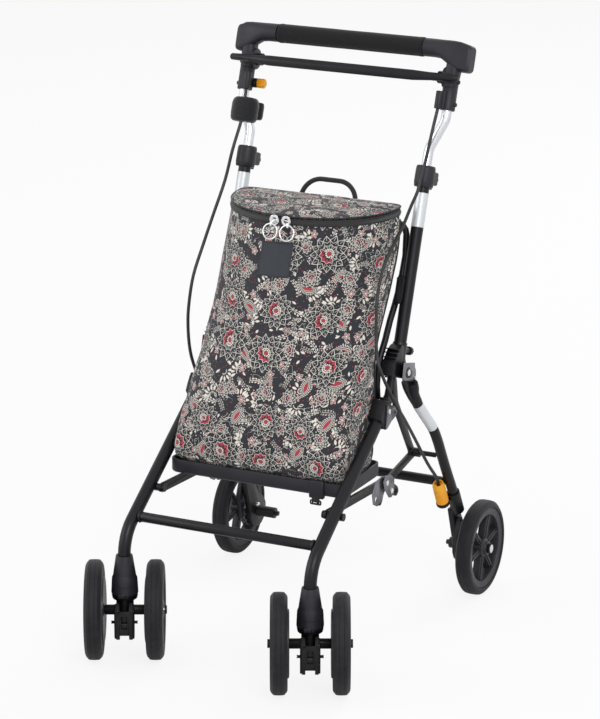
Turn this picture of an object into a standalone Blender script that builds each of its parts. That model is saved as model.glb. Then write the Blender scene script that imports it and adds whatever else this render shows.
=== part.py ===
"""Folding shopping walker: a bag on a leaning mast, two folding leg frames and a brake bar.

Units are metres, +Z is up, the front faces -Y and the user walks at +Y.
Shapes are laid out from the rear axle (Y = 0, ground Z = 0) and moved back by REAR_AXLE_Y
at the end, so that the origin lies under the middle of the whole walker.
Parts on the leaning mast are laid out in mast axes: x, n (square to the post, backward
positive) and s (along the post, up positive), from the post axis at the post bracket's top.
"""
import math

import bmesh
import bpy
from mathutils import Matrix, Vector

REAR_AXLE_Y = 0.2483
GAP = 0.0003

# sides of wheels, of tubes and their bores, and of pins and small rods
WHEEL_SIDES = 24
TUBE_SIDES = 14
PIN_SIDES = 10
CORD_SIDES = 8

WHEEL_R = 0.075
REAR_WHEEL_X = 0.2125
TYRE_W = 0.025
CASTER_X = 0.153
CASTER_Y = -0.482
CASTER_WHEEL_OFFSET = 0.0453
CASTER_TURN = math.radians(26.3)

MAST_LEAN = math.radians(19.39)
MAST_Y = -0.171
MAST_Z = 0.446
POST_X = 0.150
POST_R = 0.0095
POST_BORE_R = 0.008
POST_BOTTOM_S = -0.036
POST_TOP_S = 0.2613
INNER_R = 0.0075
SLEEVE_X = 0.170
SLEEVE_S = 0.3525
GRIP_S = 0.4436
GRIP_N = -0.0046
GRIP_R = 0.0145
GRIP_HALF = 0.1217
BRAKE_N = 0.0027
BRAKE_S = 0.4016

FRONT_LEG_X = 0.153
FRONT_LEG_R = 0.0095
LEG_SLOPE = math.radians(34.7)
LEG_TOP = (-0.245, 0.3551)
REAR_LEG_R = 0.008
CROSSBAR_R = 0.0076
CABLE_R = 0.0025

FRONT_PIVOT = (-0.222, 0.354)
REAR_PIVOT = (-0.180, 0.402)
BRACE_FRONT = (-0.395, 0.242)
BRACE_REAR = (-0.0975, 0.2505)
BRACE_KNEE = (-0.200, 0.2316)
BRACE_BAR_R = 0.007
COVER_TOP = Vector((0.178, -0.0875, 0.202))
COVER_BOTTOM = Vector((0.177, -0.0645, 0.161))
LEVER_PIVOT = (-0.031, 0.127)
HOOP_X = 0.134
HOOP_R = 0.005
HOOP_TOP = (-0.006, 0.177)
BAG_WALL = 0.004
BAG_CORNER = 0.012
LID_BACK_Y = -0.127
RING_R = 0.0115
ZIP_X = (-0.0142, 0.0134)
KNOB_N = 0.006
KNOB_S = 0.3650

# Bag: each level is its height, back y, half width, front y and the front's squareness
BAG_LEVELS = (
    (0.2585, -0.2440, 0.1300, -0.3370, 8.0),
    (0.2765, -0.2430, 0.1385, -0.3490, 12.0),
    (0.2830, -0.2420, 0.1425, -0.3575, 14.0),
    (0.3100, -0.2405, 0.1425, -0.3580, 10.0),
    (0.3600, -0.2375, 0.1405, -0.3470, 4.5),
    (0.4200, -0.2325, 0.1390, -0.3270, 2.2),
    (0.4600, -0.2200, 0.1375, -0.3140, 1.9),
    (0.5000, -0.1925, 0.1360, -0.3005, 1.85),
    (0.5450, -0.1620, 0.1350, -0.2860, 2.05),
    (0.5850, -0.1400, 0.1345, -0.2750, 2.15),
    (0.6200, -0.1310, 0.1340, -0.2670, 2.2),
    (0.6460, -0.1290, 0.1335, -0.2631, 2.25),
)

# Rear leg, from its flattened end on the pivot: point, half width across, half depth
REAR_LEG_ROUTE = (
    ((0.1637, -0.1845, 0.4098), 0.0024, 0.0100),
    ((0.1637, -0.1800, 0.4020), 0.0024, 0.0110),
    ((0.1638, -0.1710, 0.3862), 0.0024, 0.0110),
    ((0.1646, -0.1600, 0.3670), 0.0020, 0.0100),
    ((0.1668, -0.1535, 0.3555), 0.0060, 0.0092),
    ((0.1695, -0.1470, 0.3440), 0.0080, 0.0082),
    ((0.1765, -0.1355, 0.3235), 0.0080, 0.0080),
    ((0.1840, -0.1245, 0.3030), 0.0080, 0.0080),
    ((0.1868, -0.1120, 0.2800), 0.0080, 0.0080),
    ((0.1870, -0.0950, 0.2506), 0.0080, 0.0080),
    ((0.1875, -0.0785, 0.2215), 0.0080, 0.0080),
    ((0.1890, -0.0550, 0.1800), 0.0080, 0.0080),
    ((0.1890, -0.0410, 0.1545), 0.0080, 0.0080),
)
# Cap between the clevis cheeks, in the same terms
REAR_LEG_CAP = (
    ((0.1603, -0.1672, 0.3798), 0.0120, 0.0080),
    ((0.1615, -0.1625, 0.3720), 0.0116, 0.0086),
    ((0.1665, -0.1530, 0.3550), 0.0084, 0.0084),
)

# colour, metallic, roughness
FRAME_BLACK = ((0.026, 0.024, 0.032), 0.6, 0.4)
PLASTIC = ((0.045, 0.045, 0.052), 0.0, 0.5)
STEEL = ((0.16, 0.16, 0.18), 0.9, 0.4)
SILVER = ((0.62, 0.63, 0.66), 1.0, 0.25)
FABRIC = ((0.035, 0.037, 0.048), 0.0, 0.85)
RUBBER = ((0.02, 0.02, 0.022), 0.0, 0.8)
RIM = ((0.075, 0.075, 0.085), 0.0, 0.5)
FOAM = ((0.03, 0.03, 0.033), 0.0, 0.75)
ORANGE = ((0.85, 0.38, 0.03), 0.0, 0.45)

lean_cos = math.cos(MAST_LEAN)
lean_sin = math.sin(MAST_LEAN)
MAST = Matrix(((1, 0, 0, 0),
               (0, lean_cos, lean_sin, MAST_Y),
               (0, -lean_sin, lean_cos, MAST_Z),
               (0, 0, 0, 1)))
X_AXIS = Vector((1, 0, 0))
Y_AXIS = Vector((0, 1, 0))
Z_AXIS = Vector((0, 0, 1))


def clear_scene():
    for item in list(bpy.data.objects):
        bpy.data.objects.remove(item, do_unlink=True)


# Shape makers: each returns a closed bmesh

def loft(rings, closed=False):
    """Skin between rings of equal count; the ends are capped unless the rings close on themselves."""
    shape = bmesh.new()
    rows = [[shape.verts.new(point) for point in ring] for ring in rings]
    pairs = list(zip(rows, rows[1:]))
    if closed:
        pairs.append((rows[-1], rows[0]))
    count = len(rows[0])
    for low, high in pairs:
        for i in range(count):
            j = (i + 1) % count
            shape.faces.new((low[i], low[j], high[j], high[i]))
    if not closed:
        shape.faces.new(list(reversed(rows[0])))
        shape.faces.new(rows[-1])
    bmesh.ops.recalc_face_normals(shape, faces=shape.faces)
    return shape


def frame_of(axis):
    """Two unit vectors square to the axis, the first near X, or near Z for an X axis."""
    axis = Vector(axis).normalized()
    hint = Z_AXIS if abs(axis.x) > 0.9 else X_AXIS
    side = (hint - axis * hint.dot(axis)).normalized()
    return side, axis.cross(side)


def turned(profile, base, axis, steps=TUBE_SIDES, closed=False):
    """Turn (radius, height) points about an axis; an open profile starts and ends with flat caps."""
    base = Vector(base)
    axis = Vector(axis).normalized()
    side, up = frame_of(axis)
    rings = []
    for radius, height in profile:
        ring = []
        for i in range(steps):
            angle = 2 * math.pi * i / steps
            spoke = side * math.cos(angle) + up * math.sin(angle)
            ring.append(base + axis * height + spoke * radius)
        rings.append(ring)
    return loft(rings, closed)


def rod(start, end, radius, steps=PIN_SIDES):
    start = Vector(start)
    end = Vector(end)
    return turned([(radius, 0), (radius, (end - start).length)], start, end - start, steps)


def x_rod(y, z, x_low, x_high, radius, steps=PIN_SIDES):
    return rod((x_low, y, z), (x_high, y, z), radius, steps)


def sweep(points, radii, steps=TUBE_SIDES):
    """Sweep an ellipse, (sideways, in plane) radii, along a path."""
    points = [Vector(point) for point in points]
    rings = []
    side = None
    for i, point in enumerate(points):
        ahead = points[min(i + 1, len(points) - 1)]
        behind = points[max(i - 1, 0)]
        along = (ahead - behind).normalized()
        if side is None:
            side = frame_of(along)[0]
        side = (side - along * side.dot(along)).normalized()
        up = along.cross(side)
        wide, high = radii[i] if isinstance(radii, list) else (radii, radii)
        ring = []
        for k in range(steps):
            angle = 2 * math.pi * k / steps
            ring.append(point + side * (wide * math.cos(angle)) + up * (high * math.sin(angle)))
        rings.append(ring)
    return loft(rings)


def prism(outline, low, high, bevel=0.0, segments=1):
    """Extrude a (y, z) outline along X, with softened edges."""
    rings = [[Vector((x, y, z)) for y, z in outline] for x in (low, high)]
    shape = loft(rings)
    if bevel:
        soften(shape, bevel, segments)
    return shape


def plate(outline, low, high, bevel=0.0, segments=1):
    """Extrude an (x, z) outline along Y, with softened edges."""
    rings = [[Vector((x, y, z)) for x, z in outline] for y in (low, high)]
    shape = loft(rings)
    if bevel:
        soften(shape, bevel, segments)
    return shape


def box(low, high, bevel=0.0, segments=1):
    outline = [(low[1], low[2]), (high[1], low[2]), (high[1], high[2]), (low[1], high[2])]
    return prism(outline, low[0], high[0], bevel, segments)


def soften(shape, width, segments=1):
    edges = [edge for edge in shape.edges if edge.calc_face_angle(0) > math.radians(35)]
    bmesh.ops.bevel(shape, geom=edges, offset=width, segments=segments, affect="EDGES", profile=0.5)
    bmesh.ops.recalc_face_normals(shape, faces=shape.faces)


def capsule(start, end, radius, steps=4):
    """Outline of a bar with round ends between two (y, z) points."""
    heading = math.atan2(end[1] - start[1], end[0] - start[0])
    outline = []
    for centre, turn in ((end, -0.5), (start, 0.5)):
        for i in range(steps + 1):
            angle = heading + math.pi * (turn + i / steps)
            outline.append((centre[0] + radius * math.cos(angle), centre[1] + radius * math.sin(angle)))
    return outline


def filleted(corners, radius, steps=4):
    """Path through corners with an arc of the given radius at each inner corner."""
    corners = [Vector(corner) for corner in corners]
    path = [corners[0]]
    for before, corner, after in zip(corners, corners[1:], corners[2:]):
        to_before = (before - corner).normalized()
        to_after = (after - corner).normalized()
        half = to_before.angle(to_after) / 2
        reach = radius / math.tan(half)
        middle = (to_before + to_after).normalized()
        centre = corner + middle * (radius / math.sin(half))
        first = (corner + to_before * reach - centre).normalized()
        last = (corner + to_after * reach - centre).normalized()
        for i in range(steps + 1):
            path.append(centre + first.slerp(last, i / steps) * radius)
    path.append(corners[-1])
    return path


def smooth_path(points, per_span):
    """Catmull-Rom curve through the route's points."""
    points = [Vector(point) for point in points]
    ends = [2 * points[0] - points[1]] + points + [2 * points[-1] - points[-2]]
    path = []
    for a, b, c, d in zip(ends, ends[1:], ends[2:], ends[3:]):
        for i in range(per_span):
            t = i / per_span
            path.append(0.5 * (2 * b + (c - a) * t + (2 * a - 5 * b + 4 * c - d) * t * t
                               + (3 * b - a - 3 * c + d) * t * t * t))
    path.append(points[-1])
    return path


def moved(shape, matrix):
    shape.transform(matrix)
    shape.normal_update()
    bmesh.ops.recalc_face_normals(shape, faces=shape.faces)
    return shape


# Object makers

def mesh_object(name, shape):
    mesh = bpy.data.meshes.new(name)
    shape.to_mesh(mesh)
    shape.free()
    item = bpy.data.objects.new(name, mesh)
    bpy.context.scene.collection.objects.link(item)
    return item


def fused(shapes, cuts=()):
    """Join shapes, cut the others out, and return the resulting mesh."""
    base = mesh_object("base", shapes[0])
    tools = []
    for operation, group in (("UNION", shapes[1:]), ("DIFFERENCE", cuts)):
        for shape in group:
            tool = mesh_object("tool", shape)
            step = base.modifiers.new("step", "BOOLEAN")
            step.operation = operation
            step.object = tool
            tools.append(tool)
    graph = bpy.context.evaluated_depsgraph_get()
    mesh = bpy.data.meshes.new_from_object(base.evaluated_get(graph))
    for item in tools + [base]:
        bpy.data.objects.remove(item, do_unlink=True)
    return mesh


def add_part(name, mesh, look, origin=(0, 0, 0)):
    """Make the sub-part's object, with its origin on its joint and its own material."""
    colour, metallic, roughness = look
    material = bpy.data.materials.new(name)
    material.use_nodes = True
    surface = material.node_tree.nodes["Principled BSDF"]
    surface.inputs["Base Color"].default_value = (*colour, 1)
    surface.inputs["Metallic"].default_value = metallic
    surface.inputs["Roughness"].default_value = roughness
    mesh.materials.clear()
    mesh.materials.append(material)
    mesh.name = name
    origin = Vector(origin)
    mesh.transform(Matrix.Translation(-origin))
    mesh.shade_smooth()
    mesh.set_sharp_from_angle(angle=math.radians(35))
    item = bpy.data.objects.new(name, mesh)
    item.location = origin + Vector((0, REAR_AXLE_Y, 0))
    bpy.context.scene.collection.objects.link(item)
    return item


def mirrored(mesh):
    twin = mesh.copy()
    twin.transform(Matrix.Scale(-1, 4, X_AXIS))
    twin.flip_normals()
    return twin


def add_pair(name, mesh, look, origin=(0, 0, 0)):
    """The right part (+X) as given, and its mirror image on the left."""
    twin = mirrored(mesh)
    add_part(name + "_r", mesh, look, origin)
    add_part(name + "_l", twin, look, (-origin[0], origin[1], origin[2]))


def mast_point(x, n, s):
    return MAST @ Vector((x, n, s))


def mast_place(point):
    """The (n, s) mast place of a (y, z) point."""
    place = MAST.inverted() @ Vector((0, *point))
    return place.y, place.z


# Mast

def make_posts():
    ring = [(POST_R, POST_BOTTOM_S), (POST_R, POST_TOP_S), (POST_BORE_R, POST_TOP_S),
            (POST_BORE_R, POST_BOTTOM_S)]
    tube = turned(ring, (POST_X, 0, 0), Z_AXIS, closed=True)
    add_pair("post", fused([moved(tube, MAST)]), FRAME_BLACK)


def make_collars():
    barrel = [(0.0143, 0.2347), (0.0152, 0.2420), (0.0150, 0.2590), (0.0135, 0.2666)]
    body = turned(barrel, (POST_X, 0, 0), Z_AXIS, TUBE_SIDES)
    boss = rod((POST_X, 0.008, 0.2508), (POST_X, 0.034, 0.2508), 0.008)
    lip = box((POST_X - 0.006, 0.010, 0.2332), (POST_X + 0.006, 0.0205, 0.2440), 0.001)
    post_bore = rod((POST_X, 0, 0.230), (POST_X, 0, POST_TOP_S + 0.0004), POST_R + GAP, TUBE_SIDES)
    tube_bore = rod((POST_X, 0, 0.255), (POST_X, 0, 0.270), INNER_R + GAP, TUBE_SIDES)
    button_bore = rod((POST_X, 0.0225, 0.2508), (POST_X, 0.038, 0.2508), 0.0058)
    shapes = [moved(shape, MAST) for shape in (body, boss, lip)]
    cuts = [moved(cut, MAST) for cut in (post_bore, tube_bore, button_bore)]
    add_pair("collar", fused(shapes, cuts), PLASTIC)
    button = turned([(0.0055, 0), (0.0055, 0.0125), (0.0045, 0.0137), (0.002, 0.0141)],
                    (POST_X, 0.0285, 0.2508), Y_AXIS)
    add_pair("collar_button", fused([moved(button, MAST)]), PLASTIC, mast_point(POST_X, 0.0285, 0.2508))


def make_post_brackets():
    """A ribbed block round the post's foot, with a neck down to the front frame's pivot."""
    half = 0.0103
    pivot_n, pivot_s = mast_place(REAR_PIVOT)
    hinge_n, hinge_s = mast_place(FRONT_PIVOT)
    block = [(-0.0080, -0.0030), (-0.0140, -0.0060), (-0.0225, -0.0140), (-0.0260, -0.0220),
             (-0.0310, -0.0300), (-0.0345, -0.0370), (-0.0340, -0.0530), (0.0110, -0.0530),
             (0.0160, -0.0500), (0.0160, -0.0370),
             (0.0100, -0.0280)]
    arm_low = 0.1465
    arm_high = 0.1545
    shapes = [rod((POST_X, 0, 0), (POST_X, 0, -0.053), 0.011, TUBE_SIDES),
              prism(block, POST_X - half, POST_X + half, 0.0012),
              prism(capsule((-0.0150, -0.0500), (hinge_n, -0.0850), 0.0047), arm_low, arm_high),
              prism(capsule((hinge_n, -0.0880), (hinge_n, hinge_s), 0.0085), arm_low, arm_high),
              box((POST_X - 0.0070, -0.0300, -0.0920), (POST_X + 0.0070, -0.0050, -0.0850), 0.0010)]
    thick = 0.0009
    for rib_front, rib_s in ((-0.0270, -0.0120), (-0.0300, -0.0180), (-0.0325, -0.0250)):
        shapes.append(box((POST_X - half, rib_front, rib_s - thick),
                          (POST_X + half, -0.0060, rib_s + thick)))
    shapes.append(rod((POST_X, 0.006, -0.010), (POST_X, 0.036, -0.010), 0.0042))
    shapes.append(rod((POST_X, 0.0335, -0.010), (POST_X, 0.0405, -0.010), 0.0068))
    cuts = [rod((POST_X, 0, 0.002), (POST_X, 0, POST_BOTTOM_S - 0.0004), POST_R + GAP, TUBE_SIDES),
            x_rod(pivot_n, pivot_s, 0.130, 0.170, 0.0035),
            x_rod(hinge_n, hinge_s, 0.140, 0.160, 0.0035)]
    shapes = [moved(shape, MAST) for shape in shapes]
    cuts = [moved(cut, MAST) for cut in cuts]
    add_pair("post_bracket", fused(shapes, cuts), PLASTIC)


def make_bag_hoop():
    leg = [(-0.0165, -0.0880), (-0.0255, -0.0700), (-0.0298, -0.0500), (-0.0285, -0.0240), (-0.0200, 0.0000),
           (-0.0129, 0.0300), (-0.0040, 0.0540), (0.0030, 0.0780), (0.0068, 0.1050), (0.0085, 0.1300),
           (0.0050, 0.1500)]
    right = [Vector((HOOP_X, n, s)) for n, s in leg]
    corner = filleted([(HOOP_X, 0.0050, 0.1500), (HOOP_X, *HOOP_TOP), (0, *HOOP_TOP)], 0.016)
    half = right[:-1] + corner[1:-1]
    path = half + [Vector((-point.x, point.y, point.z)) for point in reversed(half)]
    shapes = [sweep(path, HOOP_R, PIN_SIDES)]
    for side in (-1, 1):
        middle = side * 0.1415
        outline = capsule((0.0, 0.062), (0.0, 0.0935), 0.0065)
        outline = [(middle + x, z) for x, z in outline]
        shapes.append(plate(outline, -0.0127, -0.0102))
        for rivet_s in (0.062, 0.0935):
            shapes.append(rod((side * 0.1375, -0.0140, rivet_s), (side * 0.1375, 0.002, rivet_s), 0.0024))
    shapes = [moved(shape, MAST) for shape in shapes]
    add_part("bag_hoop", fused(shapes), FRAME_BLACK)


# Bag

def bag_outline(level, grow=0.0):
    """Ring of points round the bag at one level, moved outward by grow."""
    height, back_y, half_x, front_y, square = level
    curve_y = back_y - BAG_CORNER * 1.5
    bevel = BAG_CORNER * 0.3
    half = [(0.0, back_y), (half_x / 2, back_y), (half_x - BAG_CORNER, back_y),
            (half_x - bevel, back_y - bevel), (half_x, back_y - BAG_CORNER)]
    steps = 8
    for i in range(steps + 1):
        angle = math.pi / 2 * i / steps
        x = half_x * max(math.cos(angle), 0.0) ** (2 / square)
        y = curve_y - (curve_y - front_y) * math.sin(angle) ** (2 / square)
        half.append((x, y))
    half[-1] = (0.0, front_y)
    loop = half + [(-x, y) for x, y in reversed(half[1:-1])]
    ring = []
    count = len(loop)
    for i, (x, y) in enumerate(loop):
        before = Vector(loop[i - 1])
        after = Vector(loop[(i + 1) % count])
        along = (after - before).normalized()
        ring.append(Vector((x - along.y * grow, y + along.x * grow, height)))
    return ring


def rim_outline(share, grow):
    """Ring between the bag's two top levels, moved outward by grow."""
    low = bag_outline(BAG_LEVELS[-2], grow)
    high = bag_outline(BAG_LEVELS[-1], grow)
    return [a.lerp(b, share) for a, b in zip(low, high)]


def make_bag():
    outer = [bag_outline(level) for level in BAG_LEVELS]
    inner = [bag_outline(level, -BAG_WALL) for level in BAG_LEVELS[1:]]
    add_part("bag_body", fused([loft(outer + inner[::-1])]), FABRIC)
    low = 0.46
    high = 0.96
    inside = 0.0012
    outside = 0.0034
    rings = [rim_outline(low, inside), rim_outline(low, outside), rim_outline(high, outside),
             rim_outline(high, inside)]
    shapes = [loft(rings, closed=True)]
    for x in ZIP_X:
        front = band_front(x)
        shapes.append(box((x - 0.004, front.y - 0.0028, front.z - 0.0038),
                          (x + 0.004, front.y + 0.0008, front.z + 0.0040), 0.0006))
        shapes.append(box((x - 0.0022, front.y - 0.0055, front.z - 0.0040),
                          (x + 0.0022, front.y - 0.0015, front.z - 0.0012)))
    add_part("zip_band", fused(shapes), FABRIC)


def band_front(x):
    """Point on the middle of the zip band's front face at x."""
    ring = rim_outline(0.71, 0.0034)
    middle_y = (BAG_LEVELS[-1][1] + BAG_LEVELS[-1][3]) / 2
    for first, last in zip(ring, ring[1:]):
        if first.y < middle_y and last.x <= x <= first.x:
            return first.lerp(last, (first.x - x) / (first.x - last.x))
    return ring[0]


def make_zip_rings():
    """Pull rings hang from the sliders and lie along the bag's sloping front."""
    down = Vector((0, -0.25, -0.968)).normalized()
    normal = X_AXIS.cross(down).normalized()
    steps = 14
    wire = 0.0013
    for letter, x in zip("ab", ZIP_X):
        pivot = band_front(x) + Vector((0, -0.0078, -0.0026))
        centre = pivot + down * (RING_R + 0.0048)
        rings = []
        for i in range(steps):
            angle = 2 * math.pi * i / steps
            out = X_AXIS * math.cos(angle) - down * math.sin(angle)
            point = centre + out * RING_R
            rings.append([point + (out * math.cos(turn) + normal * math.sin(turn)) * wire
                          for turn in (k * math.pi / 3 for k in range(6))])
        tab = rod(pivot - down * 0.001, pivot + down * 0.0052, 0.0019, CORD_SIDES)
        add_part("zip_ring_" + letter, fused([loft(rings, closed=True), tab]), STEEL, pivot)


def make_lid():
    height, back_y, half_x, front_y, square = BAG_LEVELS[-1]
    hinge_z = height + GAP
    level = (hinge_z, LID_BACK_Y - 0.0020, half_x, front_y, square)
    middle = Vector((0, (back_y + front_y) / 2, hinge_z))
    rings = []
    for share, grow, rise in ((1, 0.0020, 0), (1, 0.0030, 0.0018), (1, 0.0022, 0.0033), (0.88, 0, 0.0050),
                              (0.68, 0, 0.0062)):
        rings.append([middle.lerp(point, share) + Z_AXIS * rise for point in bag_outline(level, grow)])
    add_part("bag_lid", fused([loft(rings)]), FABRIC, (0, LID_BACK_Y, hinge_z))


def make_carry_handle():
    """A loop whose ends wrap round the hoop's cross tube."""
    base = mast_point(0, HOOP_TOP[0], HOOP_TOP[1])
    rise = Vector((0, 0.0199, 0.0531)).normalized()
    wide = 0.046
    tall = 0.0505
    corners = [base + X_AXIS * -wide + rise * 0.006, base + X_AXIS * -wide + rise * tall,
               base + X_AXIS * wide + rise * tall, base + X_AXIS * wide + rise * 0.006]
    shapes = [sweep(filleted(corners, 0.030), 0.0043, PIN_SIDES)]
    for side in (-1, 1):
        shapes.append(x_rod(base.y, base.z, side * wide - 0.006, side * wide + 0.006, 0.0083))
    cuts = [x_rod(base.y, base.z, -0.06, 0.06, HOOP_R + GAP)]
    add_part("carry_handle", fused(shapes, cuts), FABRIC, base)


# Brake cables: one from each handle bracket to its orange cover

def make_cables():
    into_cover = (COVER_TOP - COVER_BOTTOM).normalized()
    ends = [COVER_TOP + into_cover * 0.012, COVER_TOP - into_cover * 0.001, COVER_TOP - into_cover * 0.010]
    right = [mast_point(0.1605, -0.0141, 0.3700), mast_point(0.1605, -0.0141, 0.3610),
             mast_point(0.1605, -0.0141, 0.3520),
             Vector((0.1595, -0.0828, 0.7537)), Vector((0.1550, -0.1005, 0.7034)),
             Vector((0.1510, -0.1145, 0.6675)), Vector((0.1488, -0.1340, 0.6470)),
             Vector((0.1478, -0.1560, 0.6255)), Vector((0.1460, -0.1800, 0.6050)),
             Vector((0.1400, -0.2060, 0.5760)), Vector((0.1400, -0.2270, 0.5430)),
             Vector((0.1430, -0.2400, 0.5230)), Vector((0.1465, -0.2490, 0.4820)),
             Vector((0.1520, -0.2570, 0.4480)), Vector((0.1610, -0.2600, 0.4220)),
             Vector((0.1720, -0.2320, 0.3680)), Vector((0.1740, -0.2090, 0.3420)),
             Vector((0.1730, -0.1650, 0.2960)), Vector((0.1760, -0.1250, 0.2460))] + ends
    left = [mast_point(-0.1605, -0.0141, 0.3700), mast_point(-0.1605, -0.0141, 0.3610),
            mast_point(-0.1605, -0.0141, 0.3520),
            mast_point(-0.1605, -0.0130, 0.3200), mast_point(-0.1620, -0.0130, 0.2980),
            mast_point(-0.1660, -0.0185, 0.2560), mast_point(-0.1720, -0.0165, 0.2090),
            mast_point(-0.1780, -0.0272, 0.1530), mast_point(-0.1850, -0.0320, 0.1055),
            mast_point(-0.1885, -0.0420, 0.0577), mast_point(-0.1900, -0.0400, 0.0143),
            mast_point(-0.1900, -0.0325, -0.0190), mast_point(-0.1860, -0.0210, -0.0563),
            mast_point(-0.1820, 0.0015, -0.0867), Vector((-0.1800, -0.1620, 0.3000)),
            Vector((-0.1770, -0.1250, 0.2460))]
    left += [Vector((-point.x, point.y, point.z)) for point in ends]
    for name, route in (("cable_r", right), ("cable_l", left)):
        path = smooth_path(route, 2)
        add_part(name, fused([sweep(path, CABLE_R, CORD_SIDES)]), PLASTIC)


# Handle

def handle_bracket_shapes():
    """Bracket at one end of the handle: tube sleeve, end block, grip socket and brake pivot."""
    block = [(0.1600, 0.376), (0.1800, 0.376), (0.1835, 0.393), (0.1975, 0.403), (0.2010, 0.411),
             (0.1990, 0.446), (0.1925, 0.4535), (0.1720, 0.4575), (0.1500, 0.4579), (0.1500, 0.4300),
             (0.1580, 0.4255), (0.1600, 0.415)]
    shapes = [plate(block, -0.0125, 0.0125, 0.0030),
              rod((SLEEVE_X, 0, SLEEVE_S), (SLEEVE_X, 0, 0.392), 0.0115, TUBE_SIDES),
              rod((0.1605, -0.0141, SLEEVE_S), (0.1605, -0.0141, 0.3745), 0.0068),
              rod((0.1220, GRIP_N, GRIP_S), (0.1550, GRIP_N, GRIP_S), GRIP_R - GAP, TUBE_SIDES),
              rod((0.1585, BRAKE_N, BRAKE_S), (0.1690, BRAKE_N, BRAKE_S), 0.0165, TUBE_SIDES),
              rod((0.1450, BRAKE_N, BRAKE_S), (0.1600, BRAKE_N, BRAKE_S), 0.0035),
              rod((0.1440, BRAKE_N, BRAKE_S), (0.1470, BRAKE_N, BRAKE_S), 0.0060)]
    cuts = [rod((SLEEVE_X, 0, 0.345), (SLEEVE_X, 0, 0.3985), INNER_R + GAP, TUBE_SIDES),
            rod((0.1605, -0.0141, 0.345), (0.1605, -0.0141, 0.3712), 0.0034, PIN_SIDES),
            rod((0.1180, GRIP_N, GRIP_S), (0.1345, GRIP_N, GRIP_S), 0.0093, TUBE_SIDES)]
    return shapes, cuts


def make_handle():
    path = [(POST_X, 0, 0.06), (POST_X, 0, 0.292), (SLEEVE_X, 0, 0.338), (SLEEVE_X, 0, 0.398)]
    tube = sweep(filleted(path, 0.030), INNER_R)
    add_pair("inner_tube", fused([moved(tube, MAST)]), SILVER)

    for side, letter in ((1, "r"), (-1, "l")):
        flip = MAST @ Matrix.Scale(side, 4, X_AXIS)
        shapes, cuts = handle_bracket_shapes()
        if side < 0:
            shapes.append(rod((0.1675, KNOB_N, KNOB_S), (0.1525, KNOB_N, KNOB_S), 0.0062))
            cuts.append(rod((0.1615, KNOB_N, KNOB_S), (0.1500, KNOB_N, KNOB_S), 0.0025))
        body = fused([moved(shape, flip) for shape in shapes], [moved(cut, flip) for cut in cuts])
        add_part("handle_bracket_" + letter, body, PLASTIC)
    profile = [(0.0022, 0), (0.0022, 0.0085), (0.0070, 0.0086), (0.0078, 0.0100), (0.0078, 0.0195),
               (0.0065, 0.0212)]
    knob = moved(turned(profile, (-0.1608, KNOB_N, KNOB_S), X_AXIS, PIN_SIDES), MAST)
    add_part("lock_knob", fused([knob]), ORANGE, mast_point(-0.1608, KNOB_N, KNOB_S))

    edge = 0.0022
    profile = [(0.009, 0), (0.009, 0.0125), (GRIP_R - edge, 0.0125), (GRIP_R, 0.0125 + edge)]
    length = 2 * (GRIP_HALF + 0.0125)
    profile += [(radius, length - height) for radius, height in reversed(profile)]
    grip = moved(turned(profile, (-length / 2, GRIP_N, GRIP_S), X_AXIS, TUBE_SIDES), MAST)
    add_part("grip", fused([grip]), FOAM)


def oval(centre_x, centre_n, half_x, half_n, s, steps=TUBE_SIDES):
    return [Vector((centre_x + half_x * math.cos(2 * math.pi * i / steps),
                    centre_n + half_n * math.sin(2 * math.pi * i / steps), s)) for i in range(steps)]


def make_cane_strap():
    """A drum round the left tube and cable, with the strap's folded tail at the back."""
    centre = -0.1628
    rings = [oval(centre, -0.003, half_x, half_n, s) for half_x, half_n, s in (
        (0.0207, 0.0149, 0.302), (0.0224, 0.0166, 0.304), (0.0231, 0.0173, 0.322), (0.0224, 0.0166, 0.340),
        (0.0207, 0.0149, 0.342))]
    drum = loft(rings)
    tail = box((-0.1500, 0.0060, 0.308), (-0.1385, 0.0135, 0.336), 0.002)
    hollow = loft([oval(centre, -0.003, 0.0199, 0.0141, s) for s in (0.295, 0.350)])
    shapes = [moved(drum, MAST), moved(tail, MAST)]
    add_part("cane_strap", fused(shapes, [moved(hollow, MAST)]), RUBBER)


def make_brake_bar():
    half = [(0.190, -0.0228, 0.3990, 0.0035, 0.0035), (0.188, -0.0228, 0.3990, 0.0052, 0.0052),
            (0.172, -0.0230, 0.3990, 0.0056, 0.0056), (0.152, -0.0250, 0.3985, 0.0056, 0.0060),
            (0.135, -0.0295, 0.3975, 0.0052, 0.0070), (0.120, -0.0316, 0.3970, 0.0050, 0.0080)]
    row = half + [(-x, n, s, thick, tall) for x, n, s, thick, tall in reversed(half)]
    rings = []
    for x, n, s, thick, tall in row:
        rings.append([Vector((x, n + thick * math.cos(k * math.pi / 5), s + tall * math.sin(k * math.pi / 5)))
                      for k in range(10)])
    shapes = [moved(loft(rings), MAST)]
    cuts = []
    for side in (-1, 1):
        low = min(side * 0.1476, side * 0.1570)
        arm = capsule((BRAKE_N, BRAKE_S), (-0.0240, 0.3985), 0.0062)
        shapes.append(moved(prism(arm, low, low + 0.0094), MAST))
        shapes.append(moved(x_rod(BRAKE_N, BRAKE_S, low, low + 0.0094, 0.0095), MAST))
        cuts.append(moved(x_rod(BRAKE_N, BRAKE_S, low - 0.004, low + 0.013, 0.0038), MAST))
    add_part("brake_bar", fused(shapes, cuts), FRAME_BLACK, mast_point(0, BRAKE_N, BRAKE_S))


# Front frame

def leg_line(y):
    return LEG_TOP[1] + (y - LEG_TOP[0]) * math.tan(LEG_SLOPE)


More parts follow.
